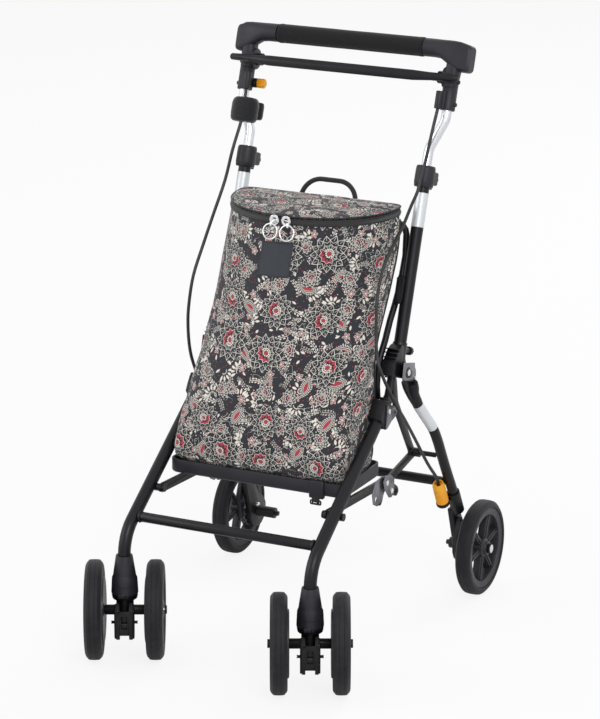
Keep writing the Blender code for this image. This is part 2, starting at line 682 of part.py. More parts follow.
def make_front_frame():
    knee = (FRONT_LEG_X, CASTER_Y, leg_line(CASTER_Y))
    path = filleted([(FRONT_LEG_X, *LEG_TOP), knee, (FRONT_LEG_X, CASTER_Y, 0.1490)], 0.059, 6)
    y, z = BRACE_FRONT
    shapes = [sweep(path, FRONT_LEG_R),
              x_rod(y, z, 0.1388, 0.1500, 0.0058),
              x_rod(y, z, 0.1310, 0.1500, 0.0035),
              x_rod(y, z, 0.1306, 0.1341, 0.0060),
              x_rod(y, z, 0.1550, 0.1650, 0.0060)]
    add_pair("front_leg", fused(shapes), FRAME_BLACK)
    bar_y = -0.4500
    half = FRONT_LEG_X - FRONT_LEG_R - 0.0005
    bar = x_rod(bar_y, 0.2128, -half, half, CROSSBAR_R, TUBE_SIDES)
    add_part("front_crossbar", fused([bar]), FRAME_BLACK)


def make_leg_brackets():
    """A block over the leg's top, slotted for the post bracket's arm, with a plate on its outer face."""
    low = 0.1420
    high = 0.1640
    y, z = FRONT_PIVOT
    block = [(-0.2677, 0.3537), (-0.2610, 0.3650), (-0.2500, 0.3790), (-0.2385, 0.3735), (-0.2300, 0.3650),
             (-0.2150, 0.3610), (-0.2130, 0.3520), (-0.2160, 0.3455), (-0.2300, 0.3430), (-0.2543, 0.3343)]
    cover = [(-0.2500, 0.3725), (-0.2352, 0.3650), (-0.2180, 0.3615), (-0.2145, 0.3530), (-0.2190, 0.3465),
             (-0.2350, 0.3425), (-0.2500, 0.3350), (-0.2560, 0.3355)]
    shapes = [prism(block, low, high, 0.0015),
              prism(cover, high - 0.0005, high + 0.0020),
              x_rod(y, z, low - 0.0022, high + 0.0032, 0.0032),
              x_rod(y, z, low - 0.0022, low + 0.0005, 0.0058),
              x_rod(-0.2440, 0.3610, high + 0.0010, high + 0.0030, 0.0040)]
    down = Vector((0, -math.cos(LEG_SLOPE), -math.sin(LEG_SLOPE)))
    start = Vector((FRONT_LEG_X, *LEG_TOP))
    slot = prism([(y - 0.013, z - 0.012), (y + 0.020, z - 0.012), (y + 0.020, z + 0.040),
                  (y - 0.013, z + 0.040)], 0.1460, 0.1550)
    pin = x_rod(y, z, 0.1450, 0.1560, 0.0032)
    socket = rod(start - down * 0.0004, start + down * 0.09, FRONT_LEG_R + GAP, TUBE_SIDES)
    body = fused(shapes, [socket, slot])
    base = bmesh.new()
    base.from_mesh(body)
    add_pair("leg_bracket", fused([base, pin]), PLASTIC)


def rounded_rectangle(half_x, y_low, y_high, radius, z, steps=4):
    corners = ((half_x - radius, y_high - radius, 0), (-half_x + radius, y_high - radius, 1),
               (-half_x + radius, y_low + radius, 2), (half_x - radius, y_low + radius, 3))
    ring = []
    for x, y, quarter in corners:
        for i in range(steps + 1):
            angle = math.pi / 2 * (quarter + i / steps)
            ring.append(Vector((x + radius * math.cos(angle), y + radius * math.sin(angle), z)))
    return ring


def make_tray():
    low = -0.3550
    high = -0.2260
    half = 0.1460
    corner = 0.014
    lip = 0.0032
    edge = 0.002
    rings = [rounded_rectangle(half - edge, low + edge, high - edge, corner - edge, 0.2540),
             rounded_rectangle(half, low, high, corner, 0.2565),
             rounded_rectangle(half, low, high, corner, 0.2750),
             rounded_rectangle(half - lip, low + lip, high - lip, corner - lip, 0.2750),
             rounded_rectangle(half - lip, low + lip, high - lip, corner - lip, 0.2570)]
    shapes = [loft(rings),
              box((0.0900, -0.3600, 0.2500), (0.1140, -0.3520, 0.2775), 0.0015)]
    add_part("tray", fused(shapes), PLASTIC)


def make_caster_sockets():
    profile = [(0.0195, 0.1135), (0.0195, 0.1180), (0.0188, 0.1270), (0.0170, 0.1310), (0.0168, 0.1330),
               (0.0133, 0.1560), (0.0125, 0.1615)]
    body = turned(profile, (CASTER_X, CASTER_Y, 0), Z_AXIS)
    cuts = [rod((CASTER_X, CASTER_Y, 0.1486), (CASTER_X, CASTER_Y, 0.170), FRONT_LEG_R + GAP, TUBE_SIDES),
            rod((CASTER_X, CASTER_Y, 0.1000), (CASTER_X, CASTER_Y, 0.1430), 0.0053),
            rod((CASTER_X, CASTER_Y, 0.1000), (CASTER_X, CASTER_Y, 0.1170), 0.0160, TUBE_SIDES)]
    add_pair("caster_socket", fused([body], cuts), PLASTIC)


def caster_frame(side):
    """Caster axes: the axle, straight ahead, and up, with the origin on the ground under the stem."""
    turn = Matrix.Rotation(CASTER_TURN, 4, "Z")
    return Matrix.Translation((side * CASTER_X, CASTER_Y, 0)) @ turn


def make_casters():
    for side, letter in ((1, "r"), (-1, "l")):
        place = caster_frame(side)
        stem_foot = place @ Vector((0, 0, 0.075))
        shapes = [rod((0, 0, 0.067), (0, 0, 0.1128), 0.0130, TUBE_SIDES),
                  rod((0, 0, 0.1100), (0, 0, 0.1163), 0.0150, TUBE_SIDES),
                  rod((0, 0, 0.1100), (0, 0, 0.1425), 0.0050),
                  rod((-0.0308, 0, 0.075), (0.0308, 0, 0.075), 0.0078),
                  rod((-0.0615, 0, 0.075), (0.0615, 0, 0.075), 0.0040),
                  rod((-0.0620, 0, 0.075), (-0.0583, 0, 0.075), 0.0066),
                  rod((0.0583, 0, 0.075), (0.0620, 0, 0.075), 0.0066),
                  box((-0.0060, -0.0260, 0.0560), (0.0060, -0.0040, 0.0740), 0.0010)]
        cuts = [rod((-0.010, -0.0205, 0.0630), (0.010, -0.0205, 0.0630), 0.0026)]
        body = fused([moved(shape, place) for shape in shapes], [moved(cut, place) for cut in cuts])
        add_part("caster_fork_" + letter, body, PLASTIC, stem_foot)

        arm = [(-0.0135, 0.0900), (-0.0190, 0.0930), (-0.0320, 0.0850), (-0.0345, 0.0720), (-0.0345, 0.0440),
               (-0.0310, 0.0390), (-0.0250, 0.0375), (-0.0200, 0.0400), (-0.0165, 0.0500), (-0.0135, 0.0620)]
        shapes = [prism(arm, 0.0070, 0.0122),
                  prism(arm, -0.0122, -0.0070),
                  box((-0.0100, -0.0340, 0.0480), (0.0100, -0.0300, 0.0840)),
                  rod((-0.0190, -0.0205, 0.0630), (0.0190, -0.0205, 0.0630), 0.0023)]
        window = box((-0.0045, -0.0400, 0.0560), (0.0045, -0.0280, 0.0760))
        lever = fused([moved(shape, place) for shape in shapes], [moved(window, place)])
        add_part("lock_lever_" + letter, lever, PLASTIC, place @ Vector((0, -0.0205, 0.0630)))

        profile = [(0.0043, -0.0138), (0.0480, -0.0138), (0.0500, -0.0110), (0.0690, -0.0125),
                   (WHEEL_R, -0.0050), (WHEEL_R, 0.0050), (0.0690, 0.0125), (0.0560, 0.0085),
                   (0.0130, 0.0120), (0.0043, 0.0120)]
        for end, outer in ((1, "outer" if side > 0 else "inner"), (-1, "inner" if side > 0 else "outer")):
            wheel = turned([(radius, end * height) for radius, height in profile],
                           (end * CASTER_WHEEL_OFFSET, 0, WHEEL_R), X_AXIS, WHEEL_SIDES, closed=True)
            centre = place @ Vector((end * CASTER_WHEEL_OFFSET, 0, WHEEL_R))
            add_part("caster_wheel_" + letter + "_" + outer, fused([moved(wheel, place)]), RUBBER, centre)


# Rear frame

def route_tube(route):
    sizes = [(wide, deep) for point, wide, deep in route]
    return sweep([Vector(point) for point, wide, deep in route], sizes)


def make_rear_legs():
    y, z = REAR_PIVOT
    body = fused([route_tube(REAR_LEG_ROUTE), route_tube(REAR_LEG_CAP)], [x_rod(y, z, 0.150, 0.180, 0.0035)])
    add_pair("rear_leg", body, FRAME_BLACK)
    half = 0.1790
    crossbar = fused([x_rod(-0.0660, 0.1980, -half, half, CROSSBAR_R, TUBE_SIDES)])
    add_part("rear_crossbar", crossbar, FRAME_BLACK)


def make_link_plates():
    """Steel clevis on the rear pivot, and the strut from it to the brace's rear pivot."""
    y, z = REAR_PIVOT
    foot_y, foot_z = BRACE_REAR
    bend = (-0.159, 0.344)
    cheek = [(-0.0080, -0.0550), (0.0290, -0.0550), (0.0310, -0.0460), (0.0230, -0.0270), (-0.0090, -0.0300)]
    shapes = [moved(prism(cheek, 0.1668, 0.1688), MAST),
              moved(prism(cheek, 0.1366, 0.1386), MAST),
              moved(box((0.1371, 0.0216, -0.0380), (0.1683, 0.0231, -0.0285)), MAST),
              prism(capsule((-0.1650, 0.3810), bend, 0.0080), 0.1364, 0.1387),
              prism(capsule(bend, (foot_y, foot_z), 0.0078), 0.1362, 0.1388),
              x_rod(y, z, 0.1335, 0.1715, 0.0032),
              x_rod(y, z, 0.1330, 0.1375, 0.0060),
              x_rod(y, z, 0.1680, 0.1720, 0.0060),
              x_rod(foot_y, foot_z, 0.1370, 0.1780, 0.0040),
              x_rod(foot_y, foot_z, 0.1335, 0.1370, 0.0065)]
    add_pair("link_plate", fused(shapes), STEEL)


def wheel_bracket(boss_x):
    """Right-hand bracket: socket, arm, drum housing and axle; the housing's boss starts at boss_x."""
    top = Vector((0.1890, -0.0550, 0.1800))
    foot = Vector((0.1890, -0.0350, 0.1440))
    arm = [(-0.0480, 0.1480), (-0.0270, 0.1500), (0.0060, 0.1010), (0.0200, 0.0750), (-0.0255, 0.0700),
           (-0.0270, 0.0860)]
    down = (foot - top).normalized()
    y, z = LEVER_PIVOT
    axle_end = 0.0060
    shapes = [rod(top, foot, 0.0103, TUBE_SIDES),
              prism(arm, 0.1765, 0.1860, 0.0010),
              x_rod(0, WHEEL_R, 0.1765, 0.1865, 0.0265, TUBE_SIDES),
              x_rod(0, WHEEL_R, boss_x, 0.1770, 0.0090),
              x_rod(0, WHEEL_R, boss_x - axle_end, 0.2300, 0.0040),
              x_rod(0, WHEEL_R, 0.2272, 0.2315, 0.0080),
              x_rod(y, z, 0.1850, 0.1945, 0.0024)]
    cuts = [rod(top - down * 0.002, top + down * 0.0300, REAR_LEG_R + GAP, TUBE_SIDES)]
    return fused(shapes, cuts)


def make_wheel_brackets():
    add_part("wheel_bracket_r", wheel_bracket(0.1620), PLASTIC)
    add_part("wheel_bracket_l", mirrored(wheel_bracket(0.1460)), PLASTIC)


def make_brake_levers():
    y, z = LEVER_PIVOT
    lever_low = 0.1875
    lever_high = 0.1930
    elbow = (-0.0400, 0.1030)
    toe = (-0.0360, 0.0780)
    shapes = [prism(capsule((y, z), elbow, 0.0055), lever_low, lever_high),
              prism(capsule(elbow, toe, 0.0055), lever_low, lever_high),
              x_rod(toe[0], toe[1], lever_low, lever_high, 0.0068),
              x_rod(elbow[0], elbow[1], 0.1835, 0.1950, 0.0034)]
    cuts = [x_rod(y, z, 0.180, 0.200, 0.0028)]
    add_pair("brake_lever", fused(shapes, cuts), PLASTIC, (0.190, y, z))


def make_cable_covers():
    axis = COVER_TOP - COVER_BOTTOM
    length = axis.length
    profile = [(0.0085, 0), (0.0093, 0.001), (0.0093, 0.007), (0.0086, 0.0075), (0.0090, 0.012),
               (0.0090, length - 0.003), (0.0080, length)]
    body = turned(profile, COVER_BOTTOM, axis, TUBE_SIDES)
    mouth = turned([(0.0058, length - 0.004), (0.0062, length + 0.004)], COVER_BOTTOM, axis)
    bore = turned([(CABLE_R + GAP, length - 0.0125), (CABLE_R + GAP, length + 0.002)], COVER_BOTTOM, axis)
    add_pair("cable_cover", fused([body], [mouth, bore]), ORANGE)


def make_rear_wheels():
    x = REAR_WHEEL_X
    half = TYRE_W / 2
    tyre = [(0.0640, -half), (0.0700, -half), (WHEEL_R, -0.0045), (WHEEL_R, 0.0045), (0.0700, half),
            (0.0640, half)]
    tyre_mesh = fused([turned(tyre, (x, 0, WHEEL_R), X_AXIS, WHEEL_SIDES, closed=True)])
    add_pair("rear_tyre", tyre_mesh, RUBBER, (x, 0, WHEEL_R))

    outer = 0.0640 - GAP
    ring = [(0.0525, -0.0090), (outer, -0.0110), (outer, 0.0110), (0.0525, 0.0090)]
    shapes = [turned(ring, (x, 0, WHEEL_R), X_AXIS, WHEEL_SIDES, closed=True)]
    hub = [(0.0043, -0.0240), (0.0110, -0.0240), (0.0110, -0.0095), (0.0150, -0.0085), (0.0150, 0.0085),
           (0.0110, 0.0115), (0.0110, 0.0141), (0.0043, 0.0141)]
    shapes.append(turned(hub, (x, 0, WHEEL_R), X_AXIS, closed=True))
    for centre in (41, -79, 161):
        for spread in (-27, 27):
            angle = math.radians(centre + spread)
            along = Vector((0, math.cos(angle), math.sin(angle)))
            across = Vector((0, -along.z, along.y)) * 0.0042
            hub_point = Vector((x, 0, WHEEL_R)) + along * 0.0120
            rim_point = Vector((x, 0, WHEEL_R)) + along * 0.0560
            rings = [[point + across + X_AXIS * -0.0065, point - across + X_AXIS * -0.0065,
                      point - across + X_AXIS * 0.0065, point + across + X_AXIS * 0.0065]
                     for point in (hub_point, rim_point)]
            shapes.append(loft(rings))
    teeth = []
    count = 12
    for i in range(count):
        for share, radius in ((0.0, 0.0205), (0.30, 0.0205), (0.38, 0.0258), (0.80, 0.0258)):
            angle = 2 * math.pi * (i + share) / count
            teeth.append((radius * math.cos(angle), WHEEL_R + radius * math.sin(angle)))
    shapes.append(prism(teeth, 0.1885, 0.1925))
    cuts = [x_rod(0, WHEEL_R, 0.180, 0.230, 0.0043)]
    add_pair("rear_rim", fused(shapes, cuts), RIM, (x, 0, WHEEL_R))


# Brace under the tray: a front and a rear link on each side, folding at the knee

def make_brace():
    front_low = 0.1345
    front_high = 0.1384
    knee_y, knee_z = BRACE_KNEE
    lobe = (-0.2120, 0.2060)
    shapes = [prism(capsule(BRACE_FRONT, BRACE_KNEE, BRACE_BAR_R), front_low, front_high),
              prism(capsule(BRACE_KNEE, lobe, BRACE_BAR_R + 0.0006), front_low - 0.0004, front_high - 0.0003),
              x_rod(knee_y, knee_z, front_low - 0.003, front_low + 0.001, 0.0045),
              x_rod(lobe[0], lobe[1], front_low - 0.003, front_low + 0.001, 0.0038)]
    cuts = [x_rod(*BRACE_FRONT, front_low - 0.01, front_high + 0.01, 0.0038)]
    add_pair("brace_front", fused(shapes, cuts), FRAME_BLACK, (front_high, *BRACE_FRONT))

    rear_low = 0.1392
    rear_high = 0.1428
    lobe = (-0.1650, 0.2080)
    shapes = [prism(capsule(BRACE_REAR, BRACE_KNEE, BRACE_BAR_R), rear_low, rear_high),
              prism(capsule(BRACE_KNEE, lobe, BRACE_BAR_R + 0.0006), rear_low + 0.0003, rear_high + 0.0004),
              x_rod(*BRACE_REAR, rear_high - 0.001, 0.1520, 0.0072),
              x_rod(knee_y, knee_z, rear_high - 0.001, rear_high + 0.0022, 0.0045),
              x_rod(lobe[0], lobe[1], rear_high - 0.001, rear_high + 0.0022, 0.0038)]
    cuts = [x_rod(*BRACE_REAR, rear_low - 0.01, 0.160, 0.0043)]
    add_pair("brace_rear", fused(shapes, cuts), FRAME_BLACK, (rear_high, *BRACE_REAR))


clear_scene()
make_posts()
make_collars()
make_post_brackets()
make_bag_hoop()
make_bag()
make_zip_rings()
make_lid()
make_carry_handle()
make_cables()
make_handle()
make_cane_strap()
make_brake_bar()
make_front_frame()
make_leg_brackets()
make_tray()
make_caster_sockets()
make_casters()
make_rear_legs()
make_link_plates()
make_wheel_brackets()
make_brake_levers()
make_cable_covers()
make_rear_wheels()
make_brace()
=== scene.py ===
"""Looks of a folding shopping walker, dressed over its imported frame.

Units are metres, and millimetres inside mm(). +Z is up, the casters are at -Y and the user walks
at +Y. Pieces on the leaning mast are laid out in mast axes: x, n (square to the posts, backward
positive) and s (along the posts, up positive), from the post axis at the post bracket's top.
"""
import math

import bmesh
import bpy
from mathutils import Matrix, Vector, noise
from mathutils.bvhtree import BVHTree


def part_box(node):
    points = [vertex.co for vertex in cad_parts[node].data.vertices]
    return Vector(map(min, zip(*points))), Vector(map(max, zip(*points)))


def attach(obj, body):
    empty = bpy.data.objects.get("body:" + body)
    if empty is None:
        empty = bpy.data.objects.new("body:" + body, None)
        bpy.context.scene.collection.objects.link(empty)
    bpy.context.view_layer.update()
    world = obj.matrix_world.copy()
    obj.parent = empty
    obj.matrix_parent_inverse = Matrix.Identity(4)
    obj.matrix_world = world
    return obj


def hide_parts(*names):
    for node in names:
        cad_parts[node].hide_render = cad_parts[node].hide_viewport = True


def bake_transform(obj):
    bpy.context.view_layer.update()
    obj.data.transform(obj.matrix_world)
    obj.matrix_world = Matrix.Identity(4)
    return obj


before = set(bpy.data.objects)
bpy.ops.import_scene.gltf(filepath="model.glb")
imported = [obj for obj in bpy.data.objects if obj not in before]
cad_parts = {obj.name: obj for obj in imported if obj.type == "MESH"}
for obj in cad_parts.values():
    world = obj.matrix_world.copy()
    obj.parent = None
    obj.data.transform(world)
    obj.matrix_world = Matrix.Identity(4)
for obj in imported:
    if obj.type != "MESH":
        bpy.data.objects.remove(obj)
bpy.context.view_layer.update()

X_AXIS = Vector((1, 0, 0))
Y_AXIS = Vector((0, 1, 0))
Z_AXIS = Vector((0, 0, 1))
SIDES = ((1, "r"), (-1, "l"))

# Driving sizes
wheel_low, wheel_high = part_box("rear_tyre_r")
WHEEL_CENTRE = (wheel_low + wheel_high) / 2
WHEEL_R = (wheel_high.z - wheel_low.z) / 2
AXLE_Y = WHEEL_CENTRE.y
MAST_LEAN = math.radians(19.39)
MAST_BASE = Vector((0, AXLE_Y - 0.171, 0.446))
POST_X = 0.15
POST_R = 0.0095
POST_BORE = 0.008
POST_FOOT = -0.036
POST_TOP = 0.2613
SLEEVE_X = 0.17
SLEEVE_S = 0.3525
TUBE_R = 0.0075
GRIP_S = 0.4436
GRIP_N = -0.0046
GRIP_R = 0.0145
GRIP_HALF = 0.1342
BRAKE_N = 0.0027
BRAKE_S = 0.4016
KNOB_N = 0.006
KNOB_S = 0.365
HOOP_TOP = (-0.006, 0.177)
CASTER_TURN = math.radians(26.3)
CASTER_X = 0.153
CASTER_Y = AXLE_Y - 0.482
CASTER_HALF_TRACK = 0.0453
LEG_SLOPE = math.radians(34.7)
CABLE_R = 0.0025
COVER_TOP = Vector((0.178, AXLE_Y - 0.0875, 0.202))
COVER_FOOT = Vector((0.177, AXLE_Y - 0.0645, 0.161))
PIVOT_Y = -0.185
PIVOT_Z = 0.405

# Points closer than this are one
WELD = 1e-6


def mm(*points):
    """Points given in millimetres, in metres."""
    return [tuple(value / 1000 for value in point) for point in points]


def mast_frame():
    cos = math.cos(MAST_LEAN)
    sin = math.sin(MAST_LEAN)
    turn = Matrix(((1, 0, 0), (0, cos, sin), (0, -sin, cos)))
    return Matrix.Translation(MAST_BASE) @ turn.to_4x4()


MAST = mast_frame()


def caster_frame(side):
    """Caster axes: the axle, straight ahead, and up, from the floor under the stem."""
    return Matrix.Translation((side * CASTER_X, CASTER_Y, 0)) @ Matrix.Rotation(CASTER_TURN, 4, "Z")


def wheel_frame(end, centre):
    """Wheel axes: the third one is the axle, outward at the end, from the wheel's centre."""
    return Matrix(((0, 0, end, centre[0]), (1, 0, 0, centre[1]), (0, 1, 0, centre[2]), (0, 0, 0, 1)))


def flip(side):
    return Matrix.Scale(side, 4, X_AXIS)


# Node maths

def maths(operation):
    """A method of Wire: one operation of the maths node."""
    def method(self, *others):
        values = dict(enumerate((self, *others)))
        return self.graph.node("ShaderNodeMath", {"operation": operation}, values)
    return method


class Wire:
    """A number in a tree of nodes, so that its maths reads as plain sums."""

    def __init__(self, graph, socket):
        self.graph = graph
        self.socket = socket

    def out(self, key):
        """Another output of the same node, by name or number."""
        return Wire(self.graph, self.socket.node.outputs[key])

    __add__ = __radd__ = maths("ADD")
    __sub__ = maths("SUBTRACT")
    __mul__ = __rmul__ = maths("MULTIPLY")
    __truediv__ = maths("DIVIDE")
    __pow__ = maths("POWER")
    __abs__ = maths("ABSOLUTE")
    high = maths("MAXIMUM")
    sine = maths("SINE")
    cosine = maths("COSINE")
    angle_over = maths("ARCTAN2")
    part = maths("FRACT")

    def __rsub__(self, other):
        return self * -1 + other

    def step(self, start, end):
        """0 before start, 1 after end, straight between; start may be above end."""
        values = {0: self, 1: start, 2: end, 3: 0.0, 4: 1.0}
        return self.graph.node("ShaderNodeMapRange", {"clamp": True}, values)


class Graph:
    """A tree of nodes, with one way of adding to it."""

    def __init__(self, tree):
        self.tree = tree

    def feed(self, socket, value):
        if isinstance(value, Wire):
            self.tree.links.new(value.socket, socket)
        elif isinstance(value, tuple) and len(value) == 3 and len(socket.default_value) == 4:
            socket.default_value = (*value, 1)
        else:
            socket.default_value = value

    def node(self, kind, settings=None, values=None):
        """Add a node with its settings and inputs, and give its first output."""
        made = self.tree.nodes.new(kind)
        for key, value in (settings or {}).items():
            setattr(made, key, value)
        for key, value in (values or {}).items():
            self.feed(made.inputs[key], value)
        return Wire(self, made.outputs[0])


class Finish(Graph):
    """One material: its colour, gloss and relief are set by the functions below."""

    def __init__(self, name, metallic=0.0, roughness=0.5, **surface):
        self.material = bpy.data.materials.new(name)
        self.material.use_nodes = True
        super().__init__(self.material.node_tree)
        self.shader = self.tree.nodes["Principled BSDF"]
        self.set("Metallic", metallic)
        self.set("Roughness", roughness)
        for key, value in surface.items():
            self.set(key.replace("_", " ").title().replace("Ior", "IOR"), value)

    def set(self, name, value):
        self.feed(self.shader.inputs[name], value)

    def place(self, stretch=(1, 1, 1)):
        """The point on the piece, in metres, stretched."""
        point = self.node("ShaderNodeTexCoord").out("Object")
        return self.node("ShaderNodeMapping", None, {"Vector": point, "Scale": stretch})

    def cloth_place(self):
        """The point on the cloth, in metres along its own surface."""
        return self.node("ShaderNodeUVMap", {"uv_map": "cloth"})

    def split(self, vector):
        x = self.node("ShaderNodeSeparateXYZ", None, {0: vector})
        return x, x.out(1), x.out(2)

    def join(self, x, y):
        return self.node("ShaderNodeCombineXYZ", None, {0: x, 1: y})

    def grain(self, vector, scale, detail=3.0, roughness=0.5):
        values = {"Vector": vector, "Scale": scale, "Detail": detail, "Roughness": roughness}
        return self.node("ShaderNodeTexNoise", None, values)

    def cells(self, vector, scale, jitter=1.0):
        """How far the nearest point of a scatter is, in cells."""
        values = {"Vector": vector, "Scale": scale, "Randomness": jitter}
        return self.node("ShaderNodeTexVoronoi", {"feature": "F1"}, values).out("Distance")

    def mix(self, share, first, second):
        return self.node("ShaderNodeMix", {"data_type": "RGBA"}, {0: share, 6: first, 7: second}).out(2)

    def paint(self, share, dark, light):
        self.set("Base Color", self.mix(share, shade(*dark), shade(*light)))

    def relief(self, height, depth, strength=1.0):
        """Bump of the given depth in metres."""
        values = {"Height": height, "Distance": depth, "Strength": strength}
        self.set("Normal", self.node("ShaderNodeBump", None, values))


def shade(red, green, blue):
    """Linear colour of an sRGB one, 0 to 255."""
    def linear(value):
        value /= 255
        return value / 12.92 if value <= 0.04045 else ((value + 0.055) / 1.055) ** 2.4
    return linear(red), linear(green), linear(blue)


# Finishes

def mottled(name, dark, light, cloud, span=None, gloss=None, relief=None, stretch=(1, 1, 1), **surface):
    """Finish led by noises, each a (scale, detail, roughness), between two tones.

    gloss is (noise, amount, least), and relief is (noise, depth) with a stretch of its own if it has one.
    """
    finish = Finish(name, **surface)
    place = finish.place(stretch)
    share = finish.grain(place, *cloud)
    finish.paint(share.step(*span) if span else share, dark, light)
    if gloss:
        grain, amount, least = gloss
        finish.set("Roughness", finish.grain(place, *grain) * amount + least)
    if relief:
        grain, depth, *own_stretch = relief
        finish.relief(finish.grain(finish.place(*own_stretch) if own_stretch else place, *grain), depth)
    return finish.material


def moulded_plastic(name, dark, light, roughness=0.44):
    """Moulded plastic with a fine spark-eroded grain and slightly polished high spots."""
    return mottled(name, dark, light, (22, 4), (0.3, 0.7), ((120, 3), 0.16, roughness - 0.08),
                   ((1400, 2), 0.0001), roughness=roughness, specular_ior_level=0.32)


def reflective_tape():
    """Silver band whose fine beads lie in rows."""
    finish = Finish("reflective_tape", 0.35, 0.38, coat_weight=0.3, coat_roughness=0.2)
    place = finish.place()
    spot = finish.cells(place, 1100, 0.35).step(0.1, 0.6)
    share = spot * 0.4 + finish.grain(place, 60) * 0.5
    finish.paint(share.step(0.1, 0.9), (228, 231, 234), (205, 210, 214))
    finish.relief(spot, 0.00004)
    return finish.material


def grip_foam():
    """Closed-cell foam: pores of two sizes."""
    finish = Finish("grip_foam", roughness=0.85, sheen_weight=0.1, specular_ior_level=0.3)
    place = finish.place()
    pore = finish.cells(place, 1300).step(0.15, 0.65)
    finish.paint(finish.grain(place, 35, 4), (14, 14, 16), (22, 22, 25))
    finish.relief(pore + finish.grain(place, 420, 2) * 0.6, 0.00025, 0.7)
    return finish.material


def weave(finish, place, pitch):
    """Plain weave of warp and weft threads, 0 in the gaps and 1 on the crowns."""
    across, along, depth = finish.split(place)
    turn = math.pi / pitch
    over = ((across * (turn / 2)).sine() * (along * (turn / 2)).sine()).step(-0.1, 0.1)
    return abs((across * turn).sine()) * over + abs((along * turn).sine()) * inverse(over)


def plain_cloth(name, dark, light, pitch=0.0008):
    """Webbing, piping and binding."""
    finish = Finish(name, roughness=0.75, sheen_weight=0.25, sheen_roughness=0.4)
    place = finish.place()
    threads = weave(finish, place, pitch)
    # Tone is half a random grain and half the weave: lighter on the thread crowns and darker in the gaps,
    # painted highlight and shade.
    finish.paint((threads * 0.5 + finish.grain(place, 120, 4) * 0.5).step(0.2, 0.8), dark, light)
    finish.relief(threads, 0.00016)
    return finish.material


# Printed bag cloth: blossoms of pointed petals, buds, sprigs, leaves and seeds over charcoal

# Width over which a printed form's edge fades
SOFT = 0.0002


def inverse(share):
    return share * -1 + 1


def motif(finish, place, pitch, shift, jitter):
    """A scatter of motifs: radius and angle in each one's own frame, in metres, and three lots of luck."""
    x, y, depth = finish.split(place)
    cell = finish.join((x + shift[0]) / pitch, (y + shift[1]) / pitch)
    values = {"Vector": cell, "Scale": 1.0, "Randomness": jitter}
    found = finish.node("ShaderNodeTexVoronoi", {"voronoi_dimensions": "2D", "feature": "F1"}, values)
    centre_x, centre_y, centre_z = finish.split(found.out("Position"))
    cell_x, cell_y, cell_z = finish.split(cell)
    dx = (cell_x - centre_x) * pitch
    dy = (cell_y - centre_y) * pitch
    luck = finish.split(found.out("Color"))
    radius = (dx * dx + dy * dy) ** 0.5
    return radius, dy.angle_over(dx) + luck[0] * (2 * math.pi), luck


def sector(radius, angle, count, twist=0.0):
    """Folds the plane into count equal sectors: (outward, sideways) in the sector's own frame."""
    turn = ((angle / (2 * math.pi) * count + (twist + 0.5)).part() - 0.5) * (2 * math.pi / count)
    return radius * turn.cosine(), radius * turn.sine()


def edged(depth, line):
    """(Outline of the given width, inside it) of a form, from the depth inside its edge."""
    inside = depth.step(line, line + SOFT)
    return depth.step(0.0, SOFT) - inside, inside


def petals(radius, angle, count, start, end, width, line):
    """A ring of lens-shaped petals: (outline, inside)."""
    outward, sideways = sector(radius, angle, count)
    share = (outward - (start + end) / 2) / ((end - start) / 2)
    return edged(inverse(share * share) * width - abs(sideways), line)


def star(radius, angle, count, reach, notch, line, twist=0.0):
    """Pointed petals side by side: (outline, inside, vein)."""
    outward, sideways = sector(radius, angle, count, twist)
    across = abs(sideways)
    depth = reach - outward - across * notch
    vein = across.step(0.0005, 0.0003) * depth.step(reach * 0.04, reach * 0.05)
    return (*edged(depth, line), vein * outward.step(reach * 0.7, reach * 0.74))


def seeds(radius, angle, count, ring, size, twist=0.0):
    """A ring of round dots."""
    outward, sideways = sector(radius, angle, count, twist)
    away = ((outward - ring) ** 2 + sideways * sideways) ** 0.5
    return away.step(size + SOFT / 2, size - SOFT / 2)


def lens(radius, angle, length, width):
    """(Place along, depth inside the edge) of a lens across the motif's middle."""
    x = radius * angle.cosine() / (length / 2)
    return x, inverse(x * x) * (width / 2) - abs(radius * angle.sine())


def big_blossom(spots, size, counts):
    """Layers of pointed petals round a beaded heart with a crescent: (cream, red, faded, room)."""
    radius, angle, luck = spots
    radius = radius / (luck[1] * 0.25 + 0.85)
    outer, outer_fill, outer_vein = star(radius, angle, counts[0], size, 1.3, 0.0011)
    middle, middle_fill, middle_vein = star(radius, angle, counts[0], size * 0.78, 1.3, 0.001, 0.5)
    inner, inner_fill, inner_vein = star(radius, angle, counts[1], size * 0.54, 1.00, 0.0009)
    outside = inverse(middle_fill)
    between = inverse(inner_fill)
    cup = petals(radius, angle, counts[1], size * 0.22, size * 0.47, size * 0.085, 0.0006)
    beads = seeds(radius, angle, counts[1], size * 0.165, size * 0.042, 0.5)
    sunny = angle.cosine().step(-0.35, -0.15)
    half_line = size * 0.025
    arc = abs(radius - size * 0.25).step(half_line + SOFT / 2, half_line - SOFT / 2) * sunny
    heart = radius.step(size * 0.12, size * 0.1)
    fill = radius.step(size * 0.46, size * 0.43) * radius.step(size * 0.33, size * 0.36) * inverse(sunny)
    cream = inner.high(middle * between).high(outer * outside).high(beads).high(arc).high(cup[0] * sunny)
    red = (cup[1] * inverse(sunny)).high(heart).high(fill)
    faded = (outer_vein * outside).high(middle_vein * between)
    return cream, red, faded, radius.step(size * 0.98, size * 0.94)


def bud(spots, size, count):
    """A small flower with filled red petals and a cream edge: (cream, red, room)."""
    radius, angle, luck = spots
    wanted = luck[2].step(0.22, 0.24)
    edge, fill = petals(radius, angle, count, size * 0.22, size, size * 0.3, 0.0008)
    heart = radius.step(size * 0.24, size * 0.18)
    return edge.high(heart) * wanted, fill * wanted, radius.step(size, size * 0.94) * wanted


